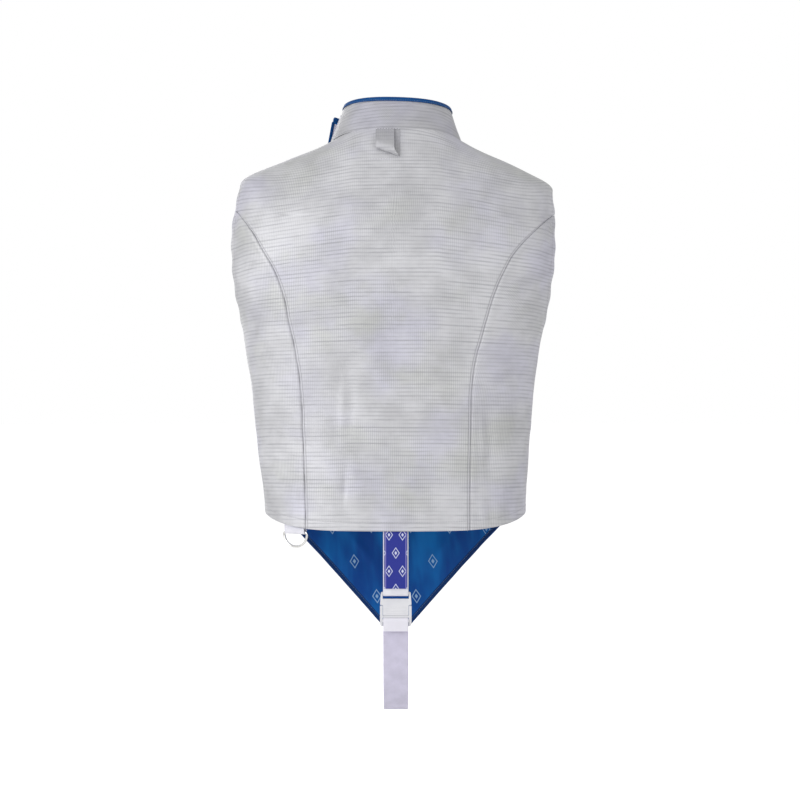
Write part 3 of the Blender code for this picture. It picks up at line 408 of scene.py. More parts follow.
def makeWoven(name, light, dark, acrossPitch, alongPitch, bump, roughness=0.8, sheen=0.15,
              slant=0.0, specular=0.3, paler=None):
    made, build, shader = newMaterial(name, roughness, 0.0, specular)
    weave = useGroup(build, threadWeave, build.uvMap("clothUV"), Across_Pitch=acrossPitch,
                     Along_Pitch=alongPitch, Slant=slant)
    colour = build.mixColour(weave["Thread"], dark, light)
    tone = build.mapRange(weave["Tone"], 0.3, 0.7, 0.93, 1.04)
    colour = build.mixColour(1.0, colour, tone, "MULTIPLY")
    if paler:  # height above which the webbing is paler, and its colour there
        height = build.axes(build.objectPlace())["Z"]
        share = build.mapRange(height, paler[0] - 0.0004, paler[0] + 0.0004, 0.0, 0.8)
        colour = build.mixColour(share, colour, paler[1])
    build.set(shader, "Sheen Weight", sheen)
    dress(build, shader, colour, weave["Height"], bump)
    return made


labelLook = {
    "ground": (0.022, 0.030, 0.23, 1.0),
    "groundLight": (0.042, 0.054, 0.34, 1.0),
    "frame": (0.30, 0.27, 0.58, 1.0),
    "motif": (0.72, 0.76, 0.90, 1.0),
    "motifStrength": 0.85,
    "motifPitch": (0.0160, 0.0215),
    "motifSize": 0.0062,
    "motifLine": 0.0008,
    "frameInset": 0.0016,
    "frameLine": 0.0003,
    "frameStrength": 0.8,
    "threadPitches": (0.0005, 0.0007),
    "roughness": 0.62,
    "specular": 0.14,
    "bump": 0.00008,
}


def makeLabel():
    look = labelLook
    made, build, shader = newMaterial("labelCloth", look["roughness"], 0.0, look["specular"])
    vector = build.uvMap("clothUV")
    acrossPitch, alongPitch = look["threadPitches"]
    weave = useGroup(build, threadWeave, vector, Across_Pitch=acrossPitch,
                     Along_Pitch=alongPitch)
    colour = build.mixColour(weave["Thread"], look["ground"], look["groundLight"])
    mask = diamondMask(build, vector, look["motifPitch"], look["motifSize"], look["motifLine"])
    mask = build.math("MULTIPLY", mask, look["motifStrength"])
    colour = build.mixColour(mask, colour, look["motif"])
    off = build.awayFrom(build.axes(build.uvMap("edgeUV"))["X"], look["frameInset"])
    line = build.mapRange(off, look["frameLine"], look["frameLine"] * 2.0,
                          look["frameStrength"], 0.0)
    colour = build.mixColour(line, colour, look["frame"])
    dress(build, shader, colour, weave["Height"], look["bump"])
    return made


def makeSolidLook(name, colour, darker, roughness, metallic, noiseScale, bump, coat=0.0):
    made, build, shader = newMaterial(name, roughness, metallic)
    place = build.objectPlace()
    mottle = build.noise(place, noiseScale, 5.0)
    rough = build.mapRange(mottle, 0.3, 0.7, roughness * 0.85, roughness * 1.2)
    build.setAll(shader, Roughness=rough, Coat_Weight=coat)
    dress(build, shader, build.mixColour(build.mapRange(mottle, 0.35, 0.70), colour, darker),
          build.noise(place, noiseScale * 12.0), bump)
    return made


looks = {
    "lame": makeLame("silverCloth", 1.0),
    # the collar and clip tab copies carry painted shade
    "collarShadedLame": makeLame("collarShadedSilverCloth", lameLook["collarShadeTone"]),
    "tabShadedLame": makeLame("tabShadedSilverCloth", lameLook["tabShadeTone"]),
    "lining": makeLining("blueLining", False),
    "liningMotif": makeLining("blueLiningMotif", True),
    "binding": makeWoven("blueBinding", (0.005, 0.090, 0.290, 1), (0.003, 0.038, 0.160, 1),
                         0.0007, 0.0007, 0.00008, 0.6, 0.0, specular=0.14),
    "webbing": makeWoven("whiteWebbing", (0.88, 0.875, 0.93, 1), (0.74, 0.73, 0.81, 1),
                         0.0016, 0.0011, 0.00030),
    "strap": makeWoven("strapWebbing", (0.72, 0.69, 0.84, 1), (0.60, 0.57, 0.71, 1),
                       0.0016, 0.0011, 0.00030, paler=(-0.5912, (0.88, 0.87, 0.93, 1))),
    "hooks": makeWoven("hookTape", (0.86, 0.84, 0.93, 1), (0.70, 0.68, 0.80, 1),
                       0.0014, 0.0014, 0.00030, 0.7),
    "loops": makeWoven("loopTape", (0.80, 0.79, 0.86, 1), (0.62, 0.61, 0.70, 1),
                       0.0009, 0.0013, 0.00050, 0.95, 0.5),
    "zipTape": makeWoven("zipTape", (0.58, 0.58, 0.62, 1), (0.44, 0.44, 0.48, 1),
                         0.0008, 0.0006, 0.00012, 0.8, 0.1, 0.6),
    "label": makeLabel(),
    "thread": makeWoven("greyThread", (0.50, 0.50, 0.53, 1), (0.40, 0.40, 0.43, 1),
                        0.0004, 0.0004, 0.00003, 0.55),
    "whiteThread": makeWoven("whiteThread", (0.84, 0.83, 0.90, 1), (0.70, 0.69, 0.76, 1),
                             0.0004, 0.0004, 0.00003, 0.6),
    "blueThread": makeWoven("blueThread", (0.16, 0.26, 0.46, 1), (0.10, 0.18, 0.36, 1),
                            0.0004, 0.0004, 0.00003, 0.6),
    "plastic": makeSolidLook("whitePlastic", (0.74, 0.74, 0.77, 1), (0.68, 0.68, 0.72, 1),
                             0.34, 0.0, 40.0, 0.00002, 0.15),
    "nickel": makeSolidLook("nickelWire", (0.88, 0.87, 0.85, 1), (0.78, 0.77, 0.75, 1),
                            0.20, 1.0, 90.0, 0.00001),
    "zipMetal": makeSolidLook("zipMetal", (0.70, 0.70, 0.73, 1), (0.58, 0.58, 0.61, 1),
                              0.28, 1.0, 70.0, 0.00001),
}
print("materials ready:", len(looks))

# The form that every panel of the vest lies on: rings from the bottom up

ringNames = ("level", "backRise", "frontRise", "halfWidth", "back", "front", "squareness",
             "sway")
bodyForm = {
    "cloth": 0.0014,
    "seamInset": 0.00006,
    "hemLevel": -0.456,
    "rightShoulderDrop": 0.006,
    "rings": (
        (-0.640, 0.0000, 0.000, 0.1620, 0.108, 0.100, 2.40, 0.0000),
        (-0.456, -0.0166, 0.000, 0.1615, 0.113, 0.108, 2.60, 0.0005),
        (-0.370, -0.0040, 0.000, 0.1690, 0.108, 0.108, 2.60, 0.0030),
        (-0.290, 0.0000, 0.000, 0.1770, 0.113, 0.115, 2.70, 0.0040),
        (-0.235, 0.0000, 0.000, 0.1855, 0.120, 0.122, 2.80, 0.0040),
        (-0.190, 0.0000, 0.000, 0.1965, 0.123, 0.125, 2.90, 0.0036),
        (-0.150, 0.0000, -0.002, 0.2030, 0.125, 0.126, 3.00, 0.0034),
        (-0.115, -0.0060, -0.013, 0.2040, 0.122, 0.122, 2.95, 0.0030),
        (-0.070, -0.0180, -0.031, 0.1975, 0.115, 0.113, 2.80, 0.0008),
        (-0.0575, -0.0192, -0.0327, 0.1950, 0.1110, 0.1085, 2.70, 0.0),
        (-0.045, -0.0200, -0.034, 0.1905, 0.106, 0.103, 2.60, -0.0010),
        (-0.0215, -0.0060, -0.0330, 0.1380, 0.092, 0.089, 2.40, -0.0010),
        (-0.0080, 0.0040, -0.0340, 0.1005, 0.083, 0.080, 2.30, -0.0005),
        (0.000, 0.0090, -0.035, 0.0830, 0.078, 0.075, 2.20, -0.0005),
    ),
    "seams": (  # height, distance of the left and the right back seam from the middle
        (-0.475, 0.1075, 0.0880),
        (-0.360, 0.1110, 0.0895),
        (-0.280, 0.1160, 0.0930),
        (-0.225, 0.1270, 0.1075),
        (-0.190, 0.1345, 0.1178),
        (-0.165, 0.1440, 0.1285),
        (-0.140, 0.1578, 0.1435),
        (-0.110, 0.1762, 0.1720),
        (-0.080, 0.2005, 0.2060),
    ),
    "armholeMiddle": -0.140,
    "armholeHalfHeight": 0.095,
    "armholeBack": 0.058,
    "armholeFront": 0.062,
    "pointHeight": -0.634,
    "pointSlope": 1.137,
    "pointHalfWidth": 0.0175,
    "zipAtNeck": 0.068,
    "zipAtHem": 0.135,
    "zipHemLevel": -0.480,
    "zipGap": 0.0028,
}

# Creases: x, z, side (1 back, -1 front), half length, half width, depth, lean in degrees
creases = (
    (0.0620, -0.3050, 1, 0.0500, 0.0120, 0.0022, -6),
    (-0.1130, -0.3750, 1, 0.0550, 0.0130, 0.0024, 4),
    (0.0600, -0.4250, 1, 0.0350, 0.0120, 0.0016, 3),
    (0.1100, -0.2050, 1, 0.0450, 0.0200, 0.0018, 28),
    (-0.0900, -0.2250, 1, 0.0500, 0.0200, 0.0016, -24),
    (0.0700, -0.3300, -1, 0.0600, 0.0140, 0.0022, 8),
    (-0.0850, -0.3500, -1, 0.0550, 0.0140, 0.0024, -7),
    (-0.1200, -0.1900, -1, 0.0450, 0.0180, 0.0020, 34),
    (0.1250, -0.2000, -1, 0.0420, 0.0180, 0.0018, -30),
    (0.0200, -0.5200, -1, 0.0500, 0.0160, 0.0020, 5),
    (0.0630, -0.3250, 1, 0.0300, 0.0050, -0.0017, -2),
    (0.0520, -0.3260, 1, 0.0280, 0.0050, 0.0009, -2),
    (0.0610, -0.4190, 1, 0.0170, 0.0028, 0.0017, -4),
    (0.0500, -0.4060, 1, 0.0220, 0.0080, -0.0010, 6),
    (-0.1115, -0.3740, 1, 0.0420, 0.0026, 0.0017, 3),
    (-0.1040, -0.3600, 1, 0.0300, 0.0040, -0.0012, 2),
    (-0.1200, -0.3560, 1, 0.0260, 0.0036, -0.0010, -3),
    (-0.1130, -0.4560, 1, 0.0130, 0.0030, 0.0015, 8),
    (-0.1030, -0.4500, 1, 0.0150, 0.0036, -0.0012, 4),
    (-0.1230, -0.4540, 1, 0.0140, 0.0034, -0.0010, -5),
    (0.1310, -0.3230, 1, 0.0300, 0.0110, -0.0013, -4),
    (0.1400, -0.3650, 1, 0.0240, 0.0080, 0.0012, 6),
    (-0.1760, -0.1340, 1, 0.0100, 0.0022, 0.0017, 48),
    (-0.1800, -0.1460, 1, 0.0090, 0.0020, 0.0017, 40),
    (-0.1740, -0.1590, 1, 0.0080, 0.0022, -0.0012, 34),
    (0.1730, -0.1600, 1, 0.0100, 0.0026, 0.0014, -30),
    (0.1680, -0.1800, 1, 0.0110, 0.0030, 0.0012, -22),
    (0.0200, -0.1850, 1, 0.0420, 0.0150, -0.0013, 62),
    (-0.0250, -0.2700, 1, 0.0500, 0.0160, 0.0011, 8),
    (0.0150, -0.3450, 1, 0.0400, 0.0140, -0.0011, -5),
    (-0.0450, -0.4200, 1, 0.0300, 0.0120, 0.0011, 10),
    (0.1050, -0.0720, 1, 0.0300, 0.0090, 0.0014, -64),
    (-0.1120, -0.0780, 1, 0.0300, 0.0090, 0.0014, 62),
    (0.0480, -0.3100, -1, 0.0400, 0.0060, 0.0017, 12),
    (0.0100, -0.3600, -1, 0.0450, 0.0130, -0.0016, -6),
    (-0.0600, -0.3200, -1, 0.0380, 0.0050, 0.0017, -9),
    (-0.0980, -0.4100, -1, 0.0320, 0.0060, 0.0015, 5),
    (0.0900, -0.4150, -1, 0.0300, 0.0055, 0.0015, -7),
    (-0.0300, -0.2050, -1, 0.0460, 0.0130, -0.0016, 54),
    (-0.1420, -0.2500, -1, 0.0200, 0.0050, 0.0015, 26),
    (-0.0300, -0.4800, -1, 0.0450, 0.0120, 0.0018, -12),
    (0.0050, -0.5600, -1, 0.0350, 0.0090, 0.0017, 10),
    (0.0440, -0.5150, -1, 0.0260, 0.0060, 0.0015, 38),
    (-0.0520, -0.5200, -1, 0.0280, 0.0060, 0.0015, -36),
)

bodyRings = dict(zip(ringNames, np.array(bodyForm["rings"]).T))
seamHeights, seamLeft, seamRight = np.array(bodyForm["seams"]).T
seamReach = {1: seamLeft, -1: seamRight}


def smoothCurve(knots, values, at):
    at = np.asarray(at, dtype=float)
    slopes = np.gradient(values, knots)
    place = np.clip(np.searchsorted(knots, at) - 1, 0, len(knots) - 2)
    span = knots[place + 1] - knots[place]
    t = np.clip((at - knots[place]) / span, 0.0, 1.0)
    return ((1 + 2 * t) * (1 - t) ** 2 * values[place] + t * (1 - t) ** 2 * span * slopes[place]
            + t * t * (3 - 2 * t) * values[place + 1] + t * t * (t - 1) * span * slopes[place + 1])


def smoothStep(value, low, high):
    t = np.clip((value - low) / (high - low), 0.0, 1.0)
    return t * t * (3 - 2 * t)


def bell(distance, width):
    return np.exp(-(distance / width) ** 2)


def ringAt(level):
    return {name: smoothCurve(bodyRings["level"], bodyRings[name], level)
            for name in ringNames[1:]}


def signedPower(value, power):
    return np.sign(value) * np.abs(value) ** power


def bareBody(level, angle):
    level, angle = np.broadcast_arrays(np.asarray(level, float), np.asarray(angle, float))
    ring = ringAt(level)
    sine = np.sin(angle)
    cosine = np.cos(angle)
    power = 2.0 / ring["squareness"]
    x = ring["halfWidth"] * signedPower(sine, power)
    y = np.where(cosine >= 0, ring["back"], ring["front"]) * signedPower(cosine, power)
    rise = np.where(cosine >= 0, ring["backRise"], ring["frontRise"])
    z = level + rise * (1.0 - sine ** 4)
    z = z - (bodyForm["rightShoulderDrop"] * smoothStep(-x, 0.09, 0.19)
             * smoothStep(level, -0.16, -0.05))
    return np.stack([x + ring["sway"], y, z], axis=-1)


def unit(vectors):
    return vectors / np.linalg.norm(vectors, axis=-1, keepdims=True)


def bodyNormal(level, angle):
    level = np.asarray(level, float)
    low = np.maximum(level - 0.002, bodyRings["level"][0])
    high = np.minimum(level + 0.002, bodyRings["level"][-1])
    around = bareBody(level, angle + 0.02) - bareBody(level, angle - 0.02)
    up = bareBody(high, angle) - bareBody(low, angle)
    return unit(np.cross(up, around))


def creaseDepth(points):
    total = np.zeros(points.shape[:-1])
    for x, z, side, halfLength, halfWidth, depth, lean in creases:
        turn = math.radians(lean)
        dx = points[..., 0] - x
        dz = points[..., 2] - z
        along = dz * math.cos(turn) + dx * math.sin(turn)
        across = dx * math.cos(turn) - dz * math.sin(turn)
        shape = depth * np.exp(-(along / halfLength) ** 2 - (across / halfWidth) ** 2)
        total += np.where(points[..., 1] * side > 0, shape, 0.0)
    return total


def softSwell(points):
    x, y, z = points[..., 0], points[..., 1], points[..., 2]
    return (0.00034 * np.sin(61 * x + 37 * z + 2.0 * np.sin(23 * z))
            + 0.00026 * np.sin(94 * z - 41 * x + 1.3)
            + 0.00022 * np.sin(83 * y + 52 * z + 0.7))


def bodySurface(level, angle, lift=0.0):
    bare = bareBody(level, angle)
    return bare + bodyNormal(level, angle) * (lift - creaseDepth(bare))[..., None]


def angleOfX(level, x, side):
    ring = ringAt(level)
    offset = x - ring["sway"]
    share = np.minimum(np.abs(offset) / ring["halfWidth"], 1.0)
    angle = np.arcsin(share ** (ring["squareness"] / 2.0))
    if side == "front":
        angle = math.pi - angle
    return np.copysign(angle, offset)


def seamAngle(level, hand):
    angle = angleOfX(level, hand * 0.12, "back")
    for _ in range(12):
        height = bareBody(level, angle)[..., 2]
        reach = smoothCurve(seamHeights, seamReach[hand], height)
        angle = angleOfX(level, hand * reach, "back")
    return np.abs(angle)


def armholeAngle(level, side):
    share = (np.asarray(level, float) - bodyForm["armholeMiddle"]) / bodyForm["armholeHalfHeight"]
    reach = bodyForm["armholeBack" if side == "back" else "armholeFront"]
    ring = ringAt(level)
    y = reach * np.sqrt(np.maximum(1.0 - share * share, 0.0))
    angle = np.arccos((y / ring[side]) ** (ring["squareness"] / 2.0))
    return angle if side == "back" else math.pi - angle


def pointEdgeX(level):
    return np.maximum((level - bodyForm["pointHeight"]) / bodyForm["pointSlope"],
                      bodyForm["pointHalfWidth"])


def zipX(level):
    share = np.asarray(level, float) / bodyForm["zipHemLevel"]
    return bodyForm["zipAtNeck"] + (bodyForm["zipAtHem"] - bodyForm["zipAtNeck"]) * share


def tipLevel(hand, width=0.003):
    low = bodyForm["armholeMiddle"]
    high = low + bodyForm["armholeHalfHeight"]
    for _ in range(30):  # halves the stretch until the two lines are this far apart
        middle = (low + high) / 2
        seam = bareBody(middle, hand * seamAngle(middle, hand))
        edge = bareBody(middle, hand * armholeAngle(middle, "back"))
        if abs(edge[0]) - abs(seam[0]) > width:
            low = middle
        else:
            high = middle
    return low


# Meshes from grids of points


def runLength(points, axis=0):
    steps = np.linalg.norm(np.diff(points, axis=axis), axis=-1)
    start = np.zeros_like(np.take(steps, [0], axis=axis))
    return np.concatenate([start, np.cumsum(steps, axis=axis)], axis=axis)


def smoothFaces(mesh, sharpAngle):
    mesh.shade_smooth()
    mesh.set_sharp_from_angle(angle=math.radians(sharpAngle))


def buildMesh(name, points, faces, uvLayers, lookNames, faceLooks=None):
    mesh = bpy.data.meshes.new(name)
    mesh.from_pydata(points.tolist(), [], faces)
    for lookName in lookNames:
        mesh.materials.append(looks[lookName])
    if faceLooks is not None:
        mesh.polygons.foreach_set("material_index", np.asarray(faceLooks, dtype=np.int32))
    for layerName, values in uvLayers.items():
        if values is not None:
            layer = mesh.uv_layers.new(name=layerName)
            layer.data.foreach_set("uv", np.asarray(values, dtype=np.float32).ravel())
    mesh.update()
    smoothFaces(mesh, 50)
    return linkObject(name, mesh)


def signedVolume(points, faces):
    a, b, c, d = (points[faces[:, k]] for k in range(4))
    first = np.einsum("ij,ij->i", a, np.cross(b, c)).sum()
    second = np.einsum("ij,ij->i", a, np.cross(c, d)).sum()
    return (first + second) / 6.0


def shellMesh(name, outer, inner, uv, lookNames, edge=None):
    rows, columns = outer.shape[:2]
    count = rows * columns
    points = np.concatenate([outer.reshape(-1, 3), inner.reshape(-1, 3)])
    index = np.arange(count).reshape(rows, columns)
    outFaces = np.stack([index[:-1, :-1], index[:-1, 1:], index[1:, 1:], index[1:, :-1]],
                        axis=-1).reshape(-1, 4)
    border = np.concatenate([index[0, :-1], index[:-1, -1], index[-1, :0:-1], index[:0:-1, 0]])
    after = np.roll(border, -1)
    rim = np.stack([after, border, border + count, after + count], axis=-1)
    faces = np.concatenate([outFaces, outFaces[:, ::-1] + count, rim])
    if signedVolume(points, faces) < 0:
        faces = faces[:, ::-1]
    faceLooks = np.zeros(len(faces), dtype=int)
    faceLooks[len(outFaces):2 * len(outFaces)] = len(lookNames) - 1
    corners = faces.ravel()
    uvLayers = {"clothUV": np.tile(uv.reshape(-1, 2), (2, 1))[corners]}
    if edge is not None:
        if edge.ndim == 2:
            edge = np.stack([edge, np.ones_like(edge)], axis=-1)
        uvLayers["edgeUV"] = np.tile(edge.reshape(-1, 2), (2, 1))[corners]
    return buildMesh(name, points, faces.tolist(), uvLayers, lookNames, faceLooks)


def tubeMesh(name, sections, lookNames, closed=False, around=None, edge=None):
    sections = np.asarray(sections)
    count, sides = sections.shape[:2]
    points = sections.reshape(-1, 3)
    along = runLength(sections.mean(axis=1))
    if around is None:
        around = runLength(np.concatenate([sections[0], sections[0][:1]]))
    if closed:
        along = np.append(along, along[-1] + np.linalg.norm(sections[0].mean(0)
                                                            - sections[-1].mean(0)))
    last = count if closed else count - 1
    i, j = np.meshgrid(np.arange(last), np.arange(sides), indexing="ij")
    i, j = i.ravel(), j.ravel()
    k = (j + 1) % sides
    after = (i + 1) % count
    faces = np.stack([i * sides + j, i * sides + k, after * sides + k, after * sides + j], -1)
    corners = ((j, i), (j + 1, i), (j + 1, i + 1), (j, i + 1))
    uv = np.stack([np.stack([around[a], along[b]], -1) for a, b in corners], axis=1)
    edgeUV = None
    if edge is not None:
        wrapped = np.append(edge, edge[0])
        edgeUV = np.stack([np.stack([wrapped[a], np.zeros(len(i))], -1) for a, _ in corners],
                          axis=1)
    allFaces = faces.tolist()
    uvRows = uv.reshape(-1, 2)
    if not closed:
        capA = list(range(sides))
        capB = [(count - 1) * sides + n for n in reversed(range(sides))]
        allFaces += [capA[::-1], capB[::-1]]
        uvRows = np.concatenate([uvRows, np.zeros((2 * sides, 2))])
    centre = points.mean(axis=0)
    if signedVolume(points - centre, faces) < 0:
        allFaces = [face[::-1] for face in allFaces]
        uvRows = np.concatenate([uv[:, ::-1].reshape(-1, 2), uvRows[4 * len(faces):]])
        edgeUV = edgeUV[:, ::-1] if edgeUV is not None else None
    if edgeUV is not None:
        capRows = np.zeros((len(uvRows) - 4 * len(faces), 2))
        edgeUV = np.concatenate([edgeUV.reshape(-1, 2), capRows])
    return buildMesh(name, points, allFaces, {"clothUV": uvRows, "edgeUV": edgeUV}, lookNames)


# Panels

panelForm = {
    "edgeSteps": (0.0, 0.0004, 0.0009, 0.0015, 0.0021, 0.0026, 0.0030, 0.0034, 0.0039, 0.0048,
                  0.0062, 0.0080, 0.0098, 0.0106, 0.0110, 0.0114, 0.0122, 0.0145),
    "seamDip": 0.0008,
    "seamDipWidth": 0.0012,
    "seamRoll": 0.0004,
    "rollAway": 0.0050,
    "rollWidth": 0.0035,
    "edgeRound": 0.0004,
    "stitchAway": 0.0030,
    "stitchGroove": 0.00030,
    "facingAway": 0.0110,
    "hemWidth": 0.0100,
    "hemLift": 0.0003,
    "rowStep": 0.0036,
    "pucker": 0.0003,
    "puckerReach": 0.012,
    "edgeRipple": 0.0006,
    "rippleReach": 0.006,
    "droop": 0.14,
}
edgeSteps = np.array(panelForm["edgeSteps"])


armholeLow = bodyForm["armholeMiddle"] - bodyForm["armholeHalfHeight"]
armholeHigh = bodyForm["armholeMiddle"] + bodyForm["armholeHalfHeight"]


def bodyLevels():
    hem = bodyForm["hemLevel"]
    hemSteps = np.array([0.0, 0.0004, 0.0010, 0.0020, 0.0045, 0.0070, 0.0092, 0.0097, 0.0100,
                         0.0103, 0.0108, 0.0130]) + hem
    lower = np.arange(hem + 0.0165, armholeLow - 0.001, panelForm["rowStep"])
    turns = np.linspace(0.0, math.pi, 67)
    armhole = bodyForm["armholeMiddle"] - bodyForm["armholeHalfHeight"] * np.cos(turns)
    shoulder = np.append(np.arange(armholeHigh + 0.0022, -0.0022, 0.0022),
                         [-0.0012, -0.0005, 0.0])
    return np.concatenate([hemSteps, lower, armhole, shoulder])


tips = {hand: tipLevel(hand) for hand in (1, -1)}
bodyRows = np.unique(np.round(np.concatenate([bodyLevels(), list(tips.values())]), 6))


def pointLevels():
    bottom = bodyForm["pointHeight"] + bodyForm["pointSlope"] * bodyForm["pointHalfWidth"]
    steps = np.array([0.0, 0.0004, 0.0010, 0.0020, 0.0045])
    top = bodyForm["hemLevel"] - 0.002
    return np.unique(np.round(np.concatenate(
        [bottom + steps, np.arange(bottom + 0.0075, top, panelForm["rowStep"]), [top]]), 6))


def rowPositions(length, middleCount):
    steps = edgeSteps * min(1.0, 0.45 * length / edgeSteps[-1])
    middle = np.linspace(steps[-1], length - steps[-1], middleCount + 2)[1:-1]
    return np.concatenate([steps, middle, length - steps[::-1]])


def layRow(level, start, stop, middleCount):
    inset = bodyForm["seamInset"]
    samples = np.linspace(start, stop, 241)
    lengths = runLength(bareBody(level, samples))
    full = lengths[-1] - 2 * inset
    positions = rowPositions(full, middleCount)
    return np.interp(positions + inset, lengths, samples), positions, full


def rowOffset(level, start):
    length = runLength(bareBody(level, np.linspace(0.0, start, 121)))[-1]
    return math.copysign(length, start)


def puckers(along, away, seed):
    wave = (np.sin(along * 150 + seed) + 0.7 * np.sin(along * 233 + 2.1 * seed)
            + 0.5 * np.sin(along * 397 + 0.6 * seed))
    return panelForm["pucker"] * wave * np.exp(-away / panelForm["puckerReach"])


def makePanel(name, levels, startAt, stopAt, middleCount, seams, stitches, freeEdges=(0, 0),
              hem=True, thickness=None, lift=0.0, lookNames=("lame", "lining"), extra=None):
    thickness = thickness or bodyForm["cloth"]
    angles, positions, widths, offsets = [], [], [], []
    for level in levels:
        start = float(startAt(level))
        row, along, full = layRow(level, start, float(stopAt(level)), middleCount)
        angles.append(row)
        positions.append(along)
        widths.append(full)
        offsets.append(rowOffset(level, start))
    angles = np.array(angles)
    fromStart = np.array(positions)
    fromStop = np.array(widths)[:, None] - fromStart
    grid = np.broadcast_to(levels[:, None], angles.shape)
    bare = bareBody(grid, angles)
    normal = bodyNormal(grid, angles)
    height = -creaseDepth(bare) + softSwell(bare) + lift
    heightAlong = bare[..., 2]
    form = panelForm
    groove = form["stitchGroove"]
    rim = np.zeros(grid.shape)
    sewn = np.ones(grid.shape)
    for away, seam, stitch, free, seed in ((fromStart, seams[0], stitches[0], freeEdges[0], 1.0),
                                           (fromStop, seams[1], stitches[1], freeEdges[1], 4.0)):
        joined = np.array([seam(level) for level in levels])[:, None]
        loose = 1.0 - joined
        height = height - joined * form["seamDip"] * bell(away, form["seamDipWidth"])
        height = height + joined * form["seamRoll"] * bell(away - form["rollAway"],
                                                            form["rollWidth"])
        height = height + joined * puckers(heightAlong, away, seed)
        if stitch:
            height = height - joined * groove * bell(away - form["stitchAway"], 0.0005)
            sewn = np.where(joined > 0.5, np.minimum(sewn, away), sewn)
        rim = np.maximum(rim, loose * np.exp(-away / form["edgeRound"]))
        if free:
            height = height - loose * groove * bell(away - form["facingAway"], 0.0006)
            ripple = form["edgeRipple"] * np.sin(heightAlong * 210 + seed)
            height = height + loose * ripple * bell(away, form["rippleReach"])
    if hem:
        up = grid - levels[0]
        height = height - groove * bell(up - form["hemWidth"], 0.0005)
        height = height + form["hemLift"] * (1.0 - smoothStep(up, form["hemWidth"] - 0.0008,
                                                              form["hemWidth"]))
        rim = np.maximum(rim, np.exp(-up / form["edgeRound"]))
    if extra is not None:
        height = height + extra(np.minimum(fromStart, fromStop))
    outer = bare + normal * (height - 0.0005 * rim)[..., None]
    inner = bare + normal * (height - thickness + 0.0004 * rim)[..., None]
    uv = clothMap(bare, fromStart, np.array(offsets))
    edge = np.stack([np.minimum(fromStart, fromStop), sewn], axis=-1)
    made = shellMesh(name, outer, inner, uv, lookNames, edge)
    return {"object": made, "outer": outer, "inner": inner, "normal": normal, "levels": levels,
            "width": max(widths), "bare": bare}


def clothMap(bare, fromStart, offsets):
    tangent = unit(np.gradient(bare, axis=1))
    step = np.diff(bare, axis=0)
    flat = step - (step * tangent[:-1]).sum(-1, keepdims=True) * tangent[:-1]
    rise = np.linalg.norm(flat, axis=-1)
    up = np.concatenate([np.zeros((1, bare.shape[1])), np.cumsum(rise, axis=0)]) + bare[:1, :, 2]
    out = np.maximum(np.abs(bare[..., 0]) - 0.05, 0.0)
    slope = 0.03 + (panelForm["droop"] - 0.03) * smoothStep(bare[..., 2], -0.30, -0.05)
    up = up + slope * out
    return np.stack([offsets[:, None] + fromStart, up], axis=-1)


def always(_level):
    return 1.0


def never(_level):
    return 0.0


def sideJoined(level):
    return 0.0 if armholeLow < level < armholeHigh else 1.0


def backEdge(level, hand):
    if level > tips[hand] + 1e-6:
        return float(armholeAngle(level, "back"))
    return float(seamAngle(level, hand))


def backJoined(hand):
    return lambda level: 0.0 if tips[hand] + 1e-6 < level < armholeHigh else 1.0


def makeBackPanels():
    made = {}
    made["backPanel"] = makePanel(
        "backPanelCloth", bodyRows, lambda level: -backEdge(level, -1),
        lambda level: backEdge(level, 1), 84, (backJoined(-1), backJoined(1)), (1, 1), (1, 1))
    for hand, name in ((1, "backSideLeftCloth"), (-1, "backSideRightCloth")):
        rows = bodyRows[bodyRows <= tips[hand] + 1e-6]
        made[name] = makePanel(
            name, rows, lambda level, h=hand: h * float(seamAngle(level, h)),
            lambda level, h=hand: h * float(armholeAngle(level, "back")), 22,
            (always, sideJoined), (0, 0), (0, 1))
    return made


def frontStart(level):
    beside = float(angleOfX(level, zipX(level) - bodyForm["zipGap"], "front"))
    edge = float(angleOfX(level, pointEdgeX(level), "front"))
    if level < bodyForm["zipHemLevel"]:
        return edge
    return max(beside, edge)


def frontStop(level):
    if level < bodyForm["hemLevel"] - 0.001:
        return 2 * math.pi + float(angleOfX(level, -pointEdgeX(level), "front"))
    return 2 * math.pi - float(armholeAngle(level, "front"))


def frontJoined(level):
    return 0.0 if level < bodyForm["hemLevel"] else sideJoined(level)


def sideStart(level):
    if level < bodyForm["hemLevel"] - 0.001:
        return float(angleOfX(level, pointEdgeX(level), "front"))
    return float(armholeAngle(level, "front"))


def sideStop(level):
    return float(angleOfX(level, zipX(level) + bodyForm["zipGap"], "front"))


def makeFrontPanels():
    made = {}
    rows = np.concatenate([pointLevels(), bodyRows])
    made["frontPanel"] = makePanel("frontPanelCloth", rows, frontStart, frontStop, 84,
                                   (never, frontJoined), (0, 0), (1, 1))
    low = bodyForm["hemLevel"]
    rows = np.concatenate([low - np.array([0.0120, 0.0116, 0.0105, 0.0090, 0.0060, 0.0030]),
                           bodyRows[bodyRows > low + 0.0005]])
    made["frontSide"] = makePanel("frontSideCloth", rows, sideStart, sideStop, 30,
                                  (frontJoined, never), (0, 0), (1, 1))
    return made


liningForm = {"top": -0.481, "thickness": 0.0010, "gap": 0.0003, "strip": 0.0004}


def hemStripStep(away):
    width = liningLook["hemWidth"]
    return -liningForm["strip"] * smoothStep(away, width - 0.0006, width)


def makeFrontLining():
    rows = pointLevels()
    rows = np.append(rows[rows < liningForm["top"] - 0.001], liningForm["top"])
    return makePanel("frontLiningCloth", rows, frontStart, frontStop, 84, (never, never),
                     (0, 0), (0, 0), True, liningForm["thickness"],
                     -bodyForm["cloth"] - liningForm["gap"], ("lining", "liningMotif"),
                     hemStripStep)


